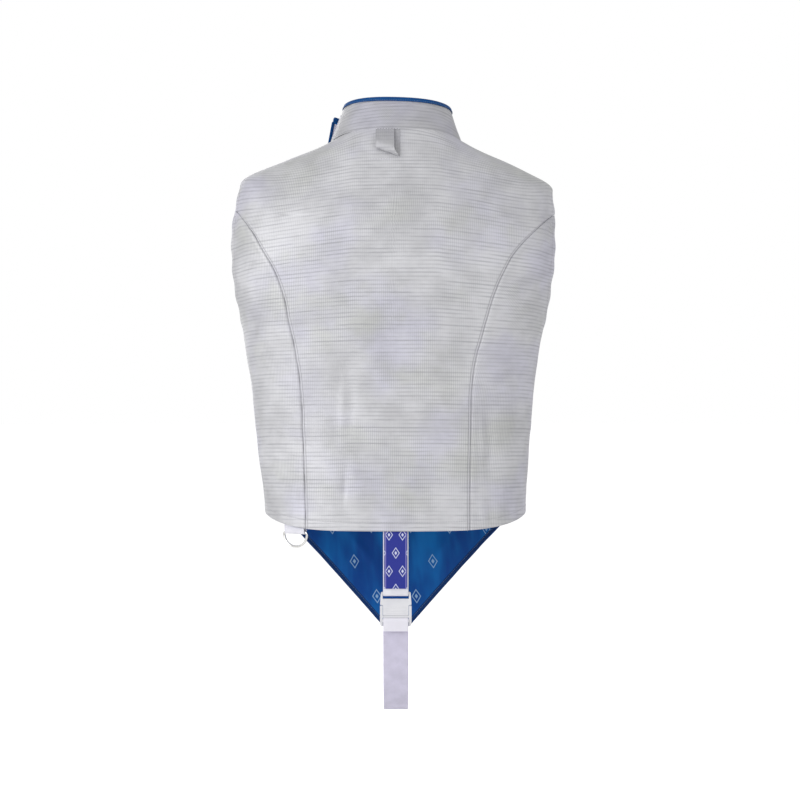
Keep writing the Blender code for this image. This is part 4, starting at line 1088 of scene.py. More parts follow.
panels = makeBackPanels()
print("back panels made")
panels.update(makeFrontPanels())
print("front panels made")
panels["frontLining"] = makeFrontLining()
print("lining made")

# Collar: stands on the neck ring, its loose end laps over the wearer's right front

collarForm = {
    "start": 126.0,
    "end": -250.0,
    "topHalfWidth": 0.0660,
    "topBack": 0.0630,
    "topFront": 0.0600,
    "topBackZ": 0.0485,
    "topSideZ": 0.0465,
    "topFrontZ": 0.0060,
    "tilt": 0.030,
    "shift": -0.0020,
    "cloth": 0.0018,
    "lining": 0.0010,
    "gap": 0.0003,
    "binding": 0.0010,
    "bindingDepth": 0.0045,
    "bindingWidth": 0.0148,  # of the strip laid flat
    "flapDepth": 0.0022,
    "pinch": 0.34,  # thickness left at the pressed end of the flap
    "pinchReach": 14.0,
    "flapFrom": -205.0,
    "flapLiftLow": 0.0095,
    "flapLiftHigh": 0.0210,
    "flapBaseZ": 0.0012,
    "flapTopZ": 0.0385,
    "tape": 0.0012,
    "size": (300, 22),  # columns and rows of the collar
    "tapeSize": (60, 26),  # and of the hook and loop tapes
}


def flapPinch(degrees):
    near = collarForm["end"] + collarForm["pinchReach"]
    return 1.0 - (1.0 - collarForm["pinch"]) * smoothStep(-degrees, -near, -collarForm["end"])


def collarPoint(degrees, share, lift):
    form = collarForm
    degrees, share = np.broadcast_arrays(np.asarray(degrees, float), np.asarray(share, float))
    angle = np.radians(degrees)
    sine, cosine = np.sin(angle), np.cos(angle)
    neck = ringAt(0.0)
    power = 2.0 / neck["squareness"]
    back = cosine >= 0
    weight = 1.0 - sine ** 4
    depthLow = np.where(back, neck["back"], neck["front"])
    depthHigh = np.where(back, form["topBack"], form["topFront"])
    lowZ = np.where(back, neck["backRise"], neck["frontRise"]) * weight - form["gap"]
    edgeZ = np.where(back, form["topBackZ"], form["topFrontZ"])
    topZ = form["topSideZ"] + (edgeZ - form["topSideZ"]) * weight
    flap = np.clip((form["flapFrom"] - degrees) / (form["flapFrom"] - form["end"]), 0.0, 1.0)
    lowZ = lowZ + (form["flapBaseZ"] - lowZ) * flap ** 2
    topZ = topZ + (form["flapTopZ"] - topZ) * flap ** 2
    width = neck["halfWidth"] + (form["topHalfWidth"] - neck["halfWidth"]) * share
    depth = depthLow + (depthHigh - depthLow) * share
    roundX = signedPower(sine, power)
    roundY = signedPower(cosine, power)
    out = unit(np.stack([roundX / width, roundY / depth, np.zeros(degrees.shape)], axis=-1))
    z = lowZ + (topZ - lowZ) * share + form["tilt"] * roundX * width * share
    lift = lift * flapPinch(degrees) + (
        form["flapLiftLow"] + (form["flapLiftHigh"] - form["flapLiftLow"]) * share) * flap ** 1.3
    place = np.stack([width * roundX + form["shift"] * share, depth * roundY, z], axis=-1)
    return place + out * lift[..., None]


def collarGrid(name, fromDegrees, toDegrees, fromShare, toShare, lift, thickness, lookNames,
               columns, rows, wave=1.0):
    degrees = np.linspace(fromDegrees, toDegrees, columns)
    near = np.array([0.0, 0.008, 0.02, 0.045, 0.07])
    shares = np.concatenate([near, np.linspace(0.1, 0.9, rows - 10), 1.0 - near[::-1]])
    shares = fromShare + (toShare - fromShare) * shares
    d, s = np.meshgrid(degrees, shares)
    soft = wave * (0.00045 * np.sin(np.radians(d) * 7 + 3 * s) + 0.0003 * np.sin(
        np.radians(d) * 13 - 5 * s + 1.0)) * np.sin(math.pi * np.clip(s, 0, 1))
    groove = 0.0003 * bell(s - 0.075, 0.014) * wave
    outer = collarPoint(d, s, lift + soft - groove)
    inner = collarPoint(d, s, lift + soft - groove - thickness)
    across = runLength(outer, 1)
    up = runLength(outer)
    uv = np.stack([across, up], axis=-1)
    made = shellMesh(name, outer, inner, uv, lookNames, up + 0.002)
    return {"object": made, "outer": outer, "inner": inner, "shares": shares,
            "width": across[:, -1].max()}


def bindingSections(edges, downs, outs, depth, pinch):
    form = collarForm
    near = form["gap"]
    far = form["gap"] + form["binding"]
    behind = form["cloth"] + form["gap"] + form["lining"]
    turns = np.linspace(0.0, math.pi, 11)
    middle = -behind / 2
    half = behind / 2 + far
    arc = [(middle + half * math.cos(t), -0.0004 + (far + 0.0004) * math.sin(t) ** 0.8)
           for t in turns]
    corners = ([(far - 0.0002, -depth), (far, -depth + 0.0003), (far, -depth * 0.5)] + arc
               + [(-behind - far, -depth * 0.5), (-behind - far, -depth + 0.0003),
                  (-behind - far + 0.0002, -depth), (-behind - near, -depth),
                  (-behind - near, near * 0.5), (near, near * 0.5), (near, -depth)])
    a = np.array([corner[0] for corner in corners])
    b = np.array([corner[1] for corner in corners])
    return (edges[:, None, :] + outs[:, None, :] * (a[None, :] * pinch[:, None])[..., None]
            - downs[:, None, :] * b[None, :, None])


def makeBinding(name, degrees, shares, turn, drop, depth):
    flat = np.zeros(len(degrees))
    edges = collarPoint(degrees, shares, flat)
    inwards = unit(collarPoint(degrees + turn, shares - drop, flat) - edges)
    outs = unit(collarPoint(degrees, shares, flat + 0.001) - edges)
    sections = bindingSections(edges, inwards, outs, depth, flapPinch(degrees))
    return {"object": tubeMesh(name, sections, ("binding",)), "path": edges, "outs": outs,
            "degrees": degrees}


def makeCollar():
    form = collarForm
    start, end, gap, size = form["start"], form["end"], form["gap"], form["size"]
    topDegrees = np.linspace(start, end + 1.0, size[0])
    behind = -form["cloth"] - gap - form["lining"] - gap
    step = (start - end) / 44
    return {
        "collar": collarGrid("collarCloth", start, end, 0.0, 1.0, 0.0, form["cloth"],
                             ("collarShadedLame", "collarShadedLame"), *size),
        "collarLining": collarGrid("collarLiningCloth", start, end, 0.0, 1.0,
                                   -form["cloth"] - gap, form["lining"],
                                   ("lining", "lining"), *size),
        "binding": makeBinding("collarBindingCloth", topDegrees, 1.0, 0.0, 0.1,
                               form["bindingDepth"]),
        "flapBinding": makeBinding("flapBindingCloth", np.full(40, end),
                                   np.linspace(0.02, 0.86, 40), 8.5, 0.0, form["flapDepth"]),
        "hookTape": collarGrid("hookTapeCloth", end + 3 * step, end + 1.8, 0.10, 0.82, behind,
                               form["tape"] * 0.5, ("hooks", "hooks"), *form["tapeSize"], 0.0),
        "loopTape": collarGrid("loopTapeCloth", start - step, start - 4 * step, 0.15, 0.80,
                               gap + form["tape"], form["tape"], ("loops", "loops"),
                               *form["tapeSize"], 0.0),
    }


collarPieces = makeCollar()
print("collar made")

# Clip tab: a looped strip of the metallic cloth below the collar

tabForm = {
    "leftX": 0.0235,
    "rightX": -0.0045,
    "topZ": 0.0078,
    "cloth": 0.0010,
    "base": 0.0010,
    "slope": 0.93,
    "lengths": (1.03, 1.45),  # of the path at the left and the right edge
    "heights": (0.80, 1.10),
    "frontShift": 0.0066,
    "columns": 28,
    "stitches": (  # height, left and right end, lift off the cloth
        (0.0071, 0.0225, -0.0035, 0.0030),
        (-0.0301, 0.0311, 0.0060, 0.0003),
    ),
    "path": (  # drop along the cloth, height off it, share of the front layer's shift
        (0.0000, 0.0010, 0.00), (0.0100, 0.0010, 0.00), (0.0200, 0.0012, 0.00),
        (0.0240, 0.0016, 0.00), (0.0259, 0.0027, 0.00), (0.0262, 0.0044, 0.15),
        (0.0245, 0.0063, 0.55), (0.0215, 0.0078, 0.90), (0.0185, 0.0082, 1.00),
        (0.0140, 0.0070, 1.00), (0.0080, 0.0047, 1.00), (0.0000, 0.0024, 1.00),
    ),
}


def backLevel(x, z):
    low = np.full(np.shape(x), bodyForm["hemLevel"])
    high = np.zeros(np.shape(x))
    for _ in range(36):
        middle = (low + high) / 2
        below = bareBody(middle, angleOfX(middle, x, "back"))[..., 2] < z
        low = np.where(below, middle, low)
        high = np.where(below, high, middle)
    return low


def onBack(x, z, lift):
    level = backLevel(x, z)
    return bodySurface(level, angleOfX(level, x, "back"), lift)


def finePath(points, count):
    table = np.array(points)
    knots = np.arange(len(table), dtype=float)
    at = np.linspace(0.0, knots[-1], count)
    return np.stack([smoothCurve(knots, table[:, k], at) for k in range(table.shape[1])], -1)


def makeClipTab():
    form = tabForm
    path = finePath(form["path"], 72)
    tangent = unit(np.gradient(path[:, :2], axis=0))
    side = np.stack([-tangent[:, 1], tangent[:, 0]], -1)
    shares = np.concatenate([[0.0, 0.012, 0.03], np.linspace(0.06, 0.94, form["columns"]),
                             [0.97, 0.988, 1.0]])
    right = form["rightX"] + form["frontShift"] * np.clip(path[:, 2], 0.0, 1.0)[:, None]
    x = form["leftX"] + (right - form["leftX"]) * shares
    longer = form["lengths"][0] + (form["lengths"][1] - form["lengths"][0]) * shares
    fuller = form["heights"][0] + (form["heights"][1] - form["heights"][0]) * shares
    grids = []
    for sign in (1, -1):
        drop = path[:, 0][:, None] * longer + side[:, 0][:, None] * form["cloth"] / 2 * sign
        height = (form["base"] + (path[:, 1][:, None] - form["base"]) * fuller
                  + side[:, 1][:, None] * form["cloth"] / 2 * sign)
        grids.append(onBack(x, form["topZ"] - drop * form["slope"], height))
    outer, inner = grids
    uv = np.stack([x, outer[..., 2]], -1)
    made = shellMesh("clipTabCloth", outer, inner, uv, ("tabShadedLame", "tabShadedLame"),
                     runLength(outer) + 0.002)
    return {"object": made, "outer": outer, "width": form["leftX"] - form["rightX"]}


clipTab = makeClipTab()
print("clip tab made")

# Straps: webbing ribbons with a rounded edge, and the label on the back strap

strapForm = {
    "webbing": 0.0016,
    "halfWidth": 0.015,
    "label": 0.0008,
    "labelHalfWidth": 0.0136,
    "clearance": 0.0009,  # behind the hem of the back
    "gap": 0.0003,
    "topZ": -0.448,
    "labelTopZ": -0.466,
    "labelBottomZ": -0.5405,
    "turnZ": -0.474,
    "loop": ((0.0945, -0.6080), (0.0820, -0.6450), (0.0560, -0.6790), (0.0200, -0.6993),
             (-0.0150, -0.6993), (-0.0520, -0.6810), (-0.0800, -0.6510)),
}
buckleForm = {
    "middle": (0.0, 0.1045, -0.5640),
    "tilt": math.radians(4.0),
    "halfWidth": 0.0187,
    "upperBar": 0.0180,
    "lowerBar": -0.0150,
    "barHalfHeight": 0.0013,
    "barHalfDepth": 0.0013,
    "barClearance": 0.0007,
    "prongLow": -0.0218,
    "tongue": 0.0152,
    "mouth": 0.0038,
    "tongueLow": -0.0088,
    "slotEnd": 0.0112,
    "armTop": 0.0030,
    "gap": 0.0003,
    "ridges": ((0.0086, 0.0150), (0.0010, 0.0128), (-0.0032, 0.0128), (-0.0068, 0.0128)),
    "ridgeSize": (0.00035, 0.0007),  # rise and half width
}
wrapRadius = buckleForm["barHalfDepth"] + buckleForm["barClearance"] + strapForm["webbing"] / 2


def ribbonSections(path, across, halfWidth, thickness, columns=18):
    path = np.asarray(path, float)
    across = np.asarray(across, float)
    tangent = unit(np.gradient(path, axis=0))
    out = unit(np.cross(np.broadcast_to(across, tangent.shape), tangent))
    half = thickness / 2
    flat = halfWidth - half
    turns = np.linspace(math.pi / 2, -math.pi / 2, 7)
    section = [(-flat + 2 * flat * k / columns, half) for k in range(columns)]
    section += [(flat + half * math.cos(t), half * math.sin(t)) for t in turns]
    section += [(flat - 2 * flat * k / columns, -half) for k in range(1, columns + 1)]
    section += [(-flat - half * math.cos(t), -half * math.sin(t)) for t in turns[1:-1]]
    table = np.array(section)
    sections = (path[:, None, :] + across[None, None, :] * table[None, :, :1]
                + out[:, None, :] * table[None, :, 1:])
    around = np.concatenate([table[:, 0], table[:1, 0]])
    return sections, around, halfWidth - np.abs(table[:, 0])


def makeRibbon(name, path, across, halfWidth, thickness, lookName):
    sections, around, edge = ribbonSections(path, across, halfWidth, thickness)
    return tubeMesh(name, sections, (lookName,), around=around, edge=edge)


def fromBuckle(y, z):
    tilt = -buckleForm["tilt"]
    middle = buckleForm["middle"]
    return np.array([0.0, middle[1] + y * math.cos(tilt) - z * math.sin(tilt),
                     middle[2] + y * math.sin(tilt) + z * math.cos(tilt)])


def strapOuterY():
    hem = bodyForm["hemLevel"]
    inside = bodySurface(hem, angleOfX(hem, 0.0, "back"), -bodyForm["cloth"])[1]
    return inside - 2 * strapForm["gap"] - strapForm["label"] - strapForm["clearance"]


def wrapPoints(bar, first, last, count):
    turns = np.radians(np.linspace(first, last, count))
    return [fromBuckle(wrapRadius * math.cos(t), bar + wrapRadius * math.sin(t)) for t in turns]


def line(start, stop, count):
    start = np.asarray(start, float)
    stop = np.asarray(stop, float)
    return [start + (stop - start) * k / count for k in range(count)]


def smoothLine(points, passes=3):
    path = np.array(points)
    for _ in range(passes):
        path[1:-1] = 0.25 * path[:-2] + 0.5 * path[1:-1] + 0.25 * path[2:]
    return path


def makeBackStrap():
    form = strapForm
    y = strapOuterY() - form["webbing"] / 2
    join = wrapPoints(buckleForm["upperBar"], 0.0, -180.0, 25)
    top = np.array([0.0, y, form["topZ"]])
    turnAt = np.array([0.0, y, form["turnZ"]])
    behind = turnAt + np.array([0.0, -form["webbing"] - form["gap"], 0.0])
    tail = [join[-1] + (behind - join[-1]) * share for share in np.linspace(0.02, 0.30, 12)]
    path = line(top, turnAt, 12) + line(turnAt, join[0], 40) + join + tail
    strapPath = smoothLine(path)
    strap = makeRibbon("backStrapWebbing", strapPath, (1, 0, 0), form["halfWidth"],
                       form["webbing"], "webbing")
    labelTop = np.array([0.0, strapOuterY() + form["gap"] + form["label"] / 2,
                         form["labelTopZ"]])
    labelTurn = np.array([0.0, labelTop[1], form["turnZ"]])
    off = np.array([0.0, form["webbing"] / 2 + form["gap"] + form["label"] / 2, 0.0])
    share = (form["labelBottomZ"] - turnAt[2]) / (join[0][2] - turnAt[2])
    end = turnAt + (join[0] - turnAt) * share + off
    path = line(labelTop, labelTurn, 6) + line(labelTurn, end, 50) + [end]
    label = makeRibbon("strapLabelCloth", smoothLine(path), (1, 0, 0), form["labelHalfWidth"],
                       form["label"], "label")
    return {"strap": strap, "path": strapPath, "label": label, "labelPath": np.array(path)}


def makeCrotchStrap():
    form = strapForm
    bar = buckleForm["lowerBar"]
    tail = line(fromBuckle(wrapRadius, bar - 0.0125), fromBuckle(wrapRadius, bar), 10)
    join = wrapPoints(bar, 0.0, 180.0, 25)
    layer = bodyForm["cloth"] + liningForm["gap"] * 2 + liningForm["thickness"]
    bottom = pointLevels()[0]
    inside = -layer - form["webbing"] / 2 - 0.0004
    front = bodySurface(bottom, math.pi, inside)
    frontUp = bodySurface(bottom + 0.022, math.pi, inside)
    down = fromBuckle(-wrapRadius, bar - 0.014)
    loop = finePath([(down[1], down[2])] + list(form["loop"])
                    + [(front[1] + 0.0040, front[2] - 0.012), (front[1], front[2])], 150)
    loop = [np.array([0.0, y, z]) for y, z in loop]
    path = tail + join[:-1] + line(join[-1], down, 8) + loop + line(front, frontUp, 10)[1:]
    path.append(frontUp)
    strap = makeRibbon("crotchStrapWebbing", smoothLine(path, 2), (1, 0, 0),
                       form["halfWidth"], form["webbing"], "strap")
    return {"strap": strap, "path": np.array(path)}


backStrap = makeBackStrap()
crotchStrap = makeCrotchStrap()
print("straps made")

# D-ring in its webbing tab at the wearer's left of the hem

ringForm = {
    "x": 0.1240,
    "wire": 0.0014,
    "halfWidth": 0.0175,
    "drop": 0.0186,
    "cornerDrop": 0.0012,
    "bow": 0.85,
    "sides": 16,
    "steps": 48,
    "tabDrop": 0.0063,
    "tabHalfWidth": 0.0150,
}


def ringFrame():
    level = bodyForm["hemLevel"]
    angle = float(angleOfX(level, ringForm["x"], "back"))
    ahead = bodySurface(level, angle + 0.05)
    behind = bodySurface(level, angle - 0.05)
    along = unit(np.array([ahead[0] - behind[0], ahead[1] - behind[1], 0.0]))
    up = np.array([0.0, 0.0, 1.0])
    out = -unit(np.cross(along, up))
    return along, up, out


def makeRing():
    form = ringForm
    along, up, out = ringFrame()
    axis = np.array(frame["record"]["behaviour"]["joints"][0]["pos_m"])
    around = form["wire"] + strapForm["gap"] + strapForm["webbing"] / 2
    face = axis + out * around + up * form["tabDrop"]
    turns = np.linspace(0.0, math.pi, 25)
    path = line(face + up * 0.012, face - up * (form["tabDrop"] - 0.0025), 14)
    path += [axis + out * around * math.cos(t) - up * around * math.sin(t) for t in turns]
    layer = strapForm["webbing"] + strapForm["gap"]
    path += [axis - out * around + up * 0.0040, face - out * layer + up * 0.003]
    path += line(face - out * layer + up * 0.005, face - out * layer + up * 0.012, 5)
    tabPath = smoothLine(path, 2)
    tab = makeRibbon("ringTabWebbing", tabPath, along, form["tabHalfWidth"],
                     strapForm["webbing"], "webbing")
    half = form["halfWidth"]
    route = [(-half + 2 * half * k / 16, 0.0) for k in range(1, 16)]
    for k in range(form["steps"] + 1):
        turn = math.pi * k / form["steps"]
        bow = (form["drop"] - form["cornerDrop"]) * math.sin(turn) ** form["bow"]
        sag = -form["cornerDrop"] - bow if 0 < k < form["steps"] else -0.0009
        route.append((half * math.cos(turn), sag))
    route = np.array(route)
    for _ in range(2):
        route = 0.25 * np.roll(route, 1, 0) + 0.5 * route + 0.25 * np.roll(route, -1, 0)
    heading = unit(np.roll(route, -1, 0) - np.roll(route, 1, 0))
    side = np.stack([-heading[:, 1], heading[:, 0]], -1)
    sections = []
    for point, flat in zip(route, side):
        section = []
        for j in range(form["sides"]):
            turn = 2 * math.pi * j / form["sides"]
            place = point + flat * form["wire"] * math.cos(turn)
            section.append(axis + along * place[0] + up * place[1]
                           + out * form["wire"] * math.sin(turn))
        sections.append(section)
    ring = tubeMesh("dRingWire", sections, ("nickel",), closed=True)
    return {"tab": tab, "path": tabPath, "ring": ring, "face": face, "along": along, "up": up,
            "out": out}


ringPieces = makeRing()
print("ring made")

# Buckle: a housing with the upper bar, and a lower part with two side arms


def roundedOutline(corners, radius, steps=5):
    made = []
    count = len(corners)
    for k, (x, z) in enumerate(corners):
        before = np.array(corners[k - 1]) - np.array((x, z))
        after = np.array(corners[(k + 1) % count]) - np.array((x, z))
        reach = min(radius, 0.45 * np.linalg.norm(before), 0.45 * np.linalg.norm(after))
        a = np.array((x, z)) + before / np.linalg.norm(before) * reach
        b = np.array((x, z)) + after / np.linalg.norm(after) * reach
        for step in range(steps):
            t = step / (steps - 1)
            made.append(tuple((1 - t) ** 2 * a + 2 * t * (1 - t) * np.array((x, z))
                              + t * t * b))
    return made


def addSlab(meshData, outline, low, high, holes=()):
    loops = []
    for points in (outline,) + tuple(holes):
        loops.append([[meshData.verts.new((x, y, z)) for x, z in points] for y in (low, high)])
    for pair in loops:
        count = len(pair[0])
        for k in range(count):
            n = (k + 1) % count
            meshData.faces.new((pair[0][k], pair[0][n], pair[1][n], pair[1][k]))
    for level in (0, 1):
        edges = []
        for pair in loops:
            ring = pair[level]
            for k in range(len(ring)):
                edges.append(meshData.edges.get((ring[k], ring[(k + 1) % len(ring)])))
        bmesh.ops.triangle_fill(meshData, use_beauty=True, use_dissolve=True, edges=edges)


def finishHard(name, meshData, lookName, bevel):
    turn = (Matrix.Translation(buckleForm["middle"])
            @ Matrix.Rotation(-buckleForm["tilt"], 4, "X"))
    bmesh.ops.transform(meshData, matrix=turn, verts=meshData.verts)
    bmesh.ops.recalc_face_normals(meshData, faces=meshData.faces)
    mesh = bpy.data.meshes.new(name)
    meshData.to_mesh(mesh)
    meshData.free()
    mesh.materials.append(looks[lookName])
    smoothFaces(mesh, 40)
    made = linkObject(name, mesh)
    edge = made.modifiers.new("edge", "BEVEL")
    edge.width = bevel
    edge.segments = 3
    edge.limit_method = "ANGLE"
    edge.angle_limit = math.radians(40)
    edge.harden_normals = False
    return made


def addRidge(meshData, z, halfWidth, face, rise, width):
    rows = []
    for x in (-halfWidth, -halfWidth + 0.0010, halfWidth - 0.0010, halfWidth):
        low = face - 0.0003
        top = face + (rise if abs(x) < halfWidth - 0.0005 else 0.0001)
        rows.append([meshData.verts.new((x, y, z + dz)) for y, dz in (
            (low, -width), (top - rise * 0.3, -width * 0.8), (top, 0.0),
            (top - rise * 0.3, width * 0.8), (low, width))])
    for a, b in zip(rows, rows[1:]):
        for k in range(5):
            n = (k + 1) % 5
            meshData.faces.new((a[k], a[n], b[n], b[k]))
    meshData.faces.new(rows[0])
    meshData.faces.new(rows[-1])


def makeBuckle():
    form = buckleForm
    w = form["halfWidth"]
    room = strapForm["halfWidth"] + 0.0005
    top = form["upperBar"] + form["barHalfHeight"]
    low = form["lowerBar"] - form["barHalfHeight"]
    d = form["barHalfDepth"]
    tongue, mouth, tongueLow = form["tongue"], form["mouth"], form["tongueLow"]
    slotEnd, armTop = form["slotEnd"], form["armTop"]
    prong = form["prongLow"]
    housing = roundedOutline(((-w + 0.0012, top), (-w, mouth), (-tongue, mouth),
                              (-tongue, tongueLow), (tongue, tongueLow), (tongue, mouth),
                              (w, mouth), (w - 0.0012, top)), 0.0014)
    slot = roundedOutline(((-room, form["upperBar"] - form["barHalfHeight"]),
                           (-room, slotEnd), (room, slotEnd),
                           (room, form["upperBar"] - form["barHalfHeight"])), 0.0006)
    upper = bmesh.new()
    addSlab(upper, housing, -d, d, (slot,))
    for z, halfWidth in form["ridges"]:
        addRidge(upper, z, halfWidth, d, *form["ridgeSize"])
    upperPiece = finishHard("buckleUpperShell", upper, "plastic", 0.00045)
    outer = tongue + form["gap"]
    under = tongueLow - form["gap"]
    arms = roundedOutline(((-w, armTop), (-w, prong + 0.0022), (-w + 0.0018, prong),
                           (-room, prong), (-room, low), (room, low), (room, prong),
                           (w - 0.0018, prong), (w, prong + 0.0022), (w, armTop),
                           (outer, armTop), (outer, under), (-outer, under),
                           (-outer, armTop)), 0.0010)
    barTop = form["lowerBar"] + form["barHalfHeight"]
    lowSlot = roundedOutline(((-room, -slotEnd), (-room, barTop), (room, barTop),
                              (room, -slotEnd)), 0.0005)
    lower = bmesh.new()
    addSlab(lower, arms, -d, d, (lowSlot,))
    lowerPiece = finishHard("buckleLowerShell", lower, "plastic", 0.00040)
    return {"upper": upperPiece, "lower": lowerPiece}


bucklePieces = makeBuckle()
print("buckle made")

# Zip of the wearer's left front

zipForm = {
    "chainLevels": (-0.4655, -0.018),
    "tapeLevels": (-0.4675, -0.003),
    "tapeDepth": 0.0008,
    "tapeHalfWidth": 0.012,
    "tape": 0.0010,
    "toothLift": 0.0003,
    "toothPitch": 0.0016,
    "toothReach": 0.0017,
    "toothThickness": 0.0021,
}


def makeZipTape():
    form = zipForm
    levels = np.linspace(*form["tapeLevels"], 120)
    depth = -bodyForm["cloth"] - form["tapeDepth"]
    outer, inner = [], []
    for level in levels:
        ends = zipX(level) + form["tapeHalfWidth"] * np.array([1.0, -1.0])
        angles = np.linspace(*angleOfX(level, ends, "front"), 17)
        outer.append(bodySurface(level, angles, depth))
        inner.append(bodySurface(level, angles, depth - form["tape"]))
    outer, inner = np.array(outer), np.array(inner)
    across = runLength(outer, 1)
    uv = np.stack([across, np.broadcast_to(levels[:, None], across.shape)], -1)
    made = shellMesh("zipTapeCloth", outer, inner, uv, ("zipTape", "zipTape"), across)
    return {"object": made, "outer": outer, "width": across[:, -1].max()}


zipTape = makeZipTape()
print("zip tape made")

# Geometry Nodes: stitches along paths and zip teeth along the chain


def startTree(name, sizes, materialName):
    tree = bpy.data.node_groups.new(name, "GeometryNodeTree")
    interface = tree.interface
    interface.new_socket("Geometry", in_out="INPUT", socket_type="NodeSocketGeometry")
    interface.new_socket("Geometry", in_out="OUTPUT", socket_type="NodeSocketGeometry")
    for label, value in sizes.items():
        socket = interface.new_socket(label, in_out="INPUT", socket_type="NodeSocketFloat")
        socket.default_value = value
    interface.new_socket(materialName, in_out="INPUT", socket_type="NodeSocketMaterial")
    build = NodeBuilder(tree)
    into = build.add("NodeGroupInput").outputs
    curve = build.add("GeometryNodeMeshToCurve", {}, Mesh=into["Geometry"])
    even = build.add("GeometryNodeResampleCurve", {"mode": "LENGTH"},
                     Curve=curve.outputs["Curve"], Length=into["Pitch"])
    return tree, build, into, even.outputs["Curve"]


def finishTree(build, instances, material):
    out = build.add("NodeGroupOutput")
    real = build.add("GeometryNodeRealizeInstances", {}, Geometry=instances)
    finished = build.add("GeometryNodeSetMaterial", {}, Geometry=real.outputs["Geometry"],
                         Material=material)
    build.set(out, "Geometry", finished.outputs["Geometry"])


def alignToPath(build):
    tangent = build.add("GeometryNodeInputTangent").outputs["Tangent"]
    outward = build.add("GeometryNodeInputNamedAttribute", {"data_type": "FLOAT_VECTOR"},
                        Name="outward").outputs["Attribute"]
    first = build.add("FunctionNodeAlignRotationToVector", {"axis": "X"}, Vector=tangent)
    second = build.add("FunctionNodeAlignRotationToVector", {"axis": "Z", "pivot_axis": "X"},
                       Rotation=first.outputs["Rotation"], Vector=outward)
    return second.outputs["Rotation"]


def makeStitchTree():
    tree, build, into, points = startTree(
        "stitchRow", {"Pitch": 0.0032, "Stitch Length": 0.0024, "Thread Radius": 0.00022},
        "Thread")
    radius = into["Thread Radius"]
    ball = build.add("GeometryNodeMeshUVSphere", {}, Segments=6, Rings=4, Radius=1.0)
    half = build.math("MULTIPLY", into["Stitch Length"], 0.5)
    size = build.add("ShaderNodeCombineXYZ", {}, X=half, Y=radius, Z=radius)
    stitch = build.add("GeometryNodeTransform", {}, Geometry=ball.outputs["Mesh"],
                       Scale=size.outputs["Vector"])
    placed = build.add("GeometryNodeInstanceOnPoints", {}, Points=points,
                       Instance=stitch.outputs["Geometry"], Rotation=alignToPath(build))
    finishTree(build, placed.outputs["Instances"], into["Thread"])
    return tree


def makeToothTree():
    tree, build, into, points = startTree(
        "zipTeeth", {"Pitch": zipForm["toothPitch"], "Reach": zipForm["toothReach"],
                     "Thickness": zipForm["toothThickness"]}, "Metal")
    tooth = build.add("GeometryNodeMeshCylinder", {"fill_type": "NGON"}, Vertices=8,
                      Radius=0.5, Depth=1.0)
    width = build.math("MULTIPLY", into["Pitch"], 0.78)
    size = build.add("ShaderNodeCombineXYZ", {}, X=width, Y=into["Reach"], Z=into["Thickness"])
    placed = build.add("GeometryNodeInstanceOnPoints", {}, Points=points,
                       Instance=tooth.outputs["Mesh"], Rotation=alignToPath(build),
                       Scale=size.outputs["Vector"])
    number = build.add("GeometryNodeInputIndex").outputs["Index"]
    side = build.math("MULTIPLY_ADD", build.math("FLOORED_MODULO", number, 2.0), 2.0, -1.0)
    shift = build.math("MULTIPLY", side, build.math("MULTIPLY", into["Reach"], 0.32))
    moveBy = build.add("ShaderNodeCombineXYZ", {}, Y=shift)
    moved = build.add("GeometryNodeTranslateInstances", {},
                      Instances=placed.outputs["Instances"],
                      Translation=moveBy.outputs["Vector"], Local_Space=True)
    finishTree(build, moved.outputs["Instances"], into["Metal"])
    return tree


def pathObject(name, paths, outwards):
    points, edges, outs = [], [], []
    for path, outward in zip(paths, outwards):
        first = len(points)
        points += [tuple(point) for point in np.asarray(path).tolist()]
        outs += [tuple(out) for out in np.broadcast_to(outward, np.shape(path)).tolist()]
        edges += [(first + k, first + k + 1) for k in range(len(path) - 1)]
    mesh = bpy.data.meshes.new(name)
    mesh.from_pydata(points, edges, [])
    layer = mesh.attributes.new("outward", "FLOAT_VECTOR", "POINT")
    layer.data.foreach_set("vector", np.array(outs, dtype=np.float32).ravel())
    return linkObject(name, mesh)


def growTree(made, tree, values, lookName):
    modifier = made.modifiers.new("grow", "NODES")
    modifier.node_group = tree
    names = {item.name: item.identifier for item in tree.interface.items_tree
             if item.in_out == "INPUT"}
    for name, value in values.items():
        modifier[names[name]] = value
    bpy.context.view_layer.update()
    depsgraph = bpy.context.evaluated_depsgraph_get()
    grown = bpy.data.meshes.new_from_object(made.evaluated_get(depsgraph),
                                            depsgraph=depsgraph)
    grown.name = made.name
    made.modifiers.remove(modifier)
    made.data = grown
    if not grown.materials:
        grown.materials.append(looks[lookName])
    if "clothUV" not in grown.uv_layers:
        if len(grown.uv_layers):
            grown.uv_layers[0].name = "clothUV"
        else:
            grown.uv_layers.new(name="clothUV")
    grown.shade_smooth()
    return made


stitchTree = makeStitchTree()
toothTree = makeToothTree()
sewingForm = {  # pitch, stitch length and thread radius
    "seam": (0.0032, 0.0025, 0.00022),
    "binding": (0.0028, 0.0022, 0.00022),
    "label": (0.0026, 0.0019, 0.00030),
    "ringTab": (0.0024, 0.0018, 0.00022),
    "clipTab": (0.0030, 0.0022, 0.00036),
}


def sew(name, rows, lookName, kind="seam"):
    pitch, length, radius = sewingForm[kind]
    made = pathObject(name, [row[0] for row in rows], [row[1] for row in rows])
    return growTree(made, stitchTree,
                    {"Pitch": pitch, "Stitch Length": length, "Thread Radius": radius,
                     "Thread": looks[lookName]}, lookName)


def nearest(values, target):
    return int(np.argmin(np.abs(np.asarray(values) - target)))


def panelColumn(panel, column, rows, lift=0.0001):
    outward = panel["normal"][rows, column]
    return panel["outer"][rows, column] + outward * lift, outward


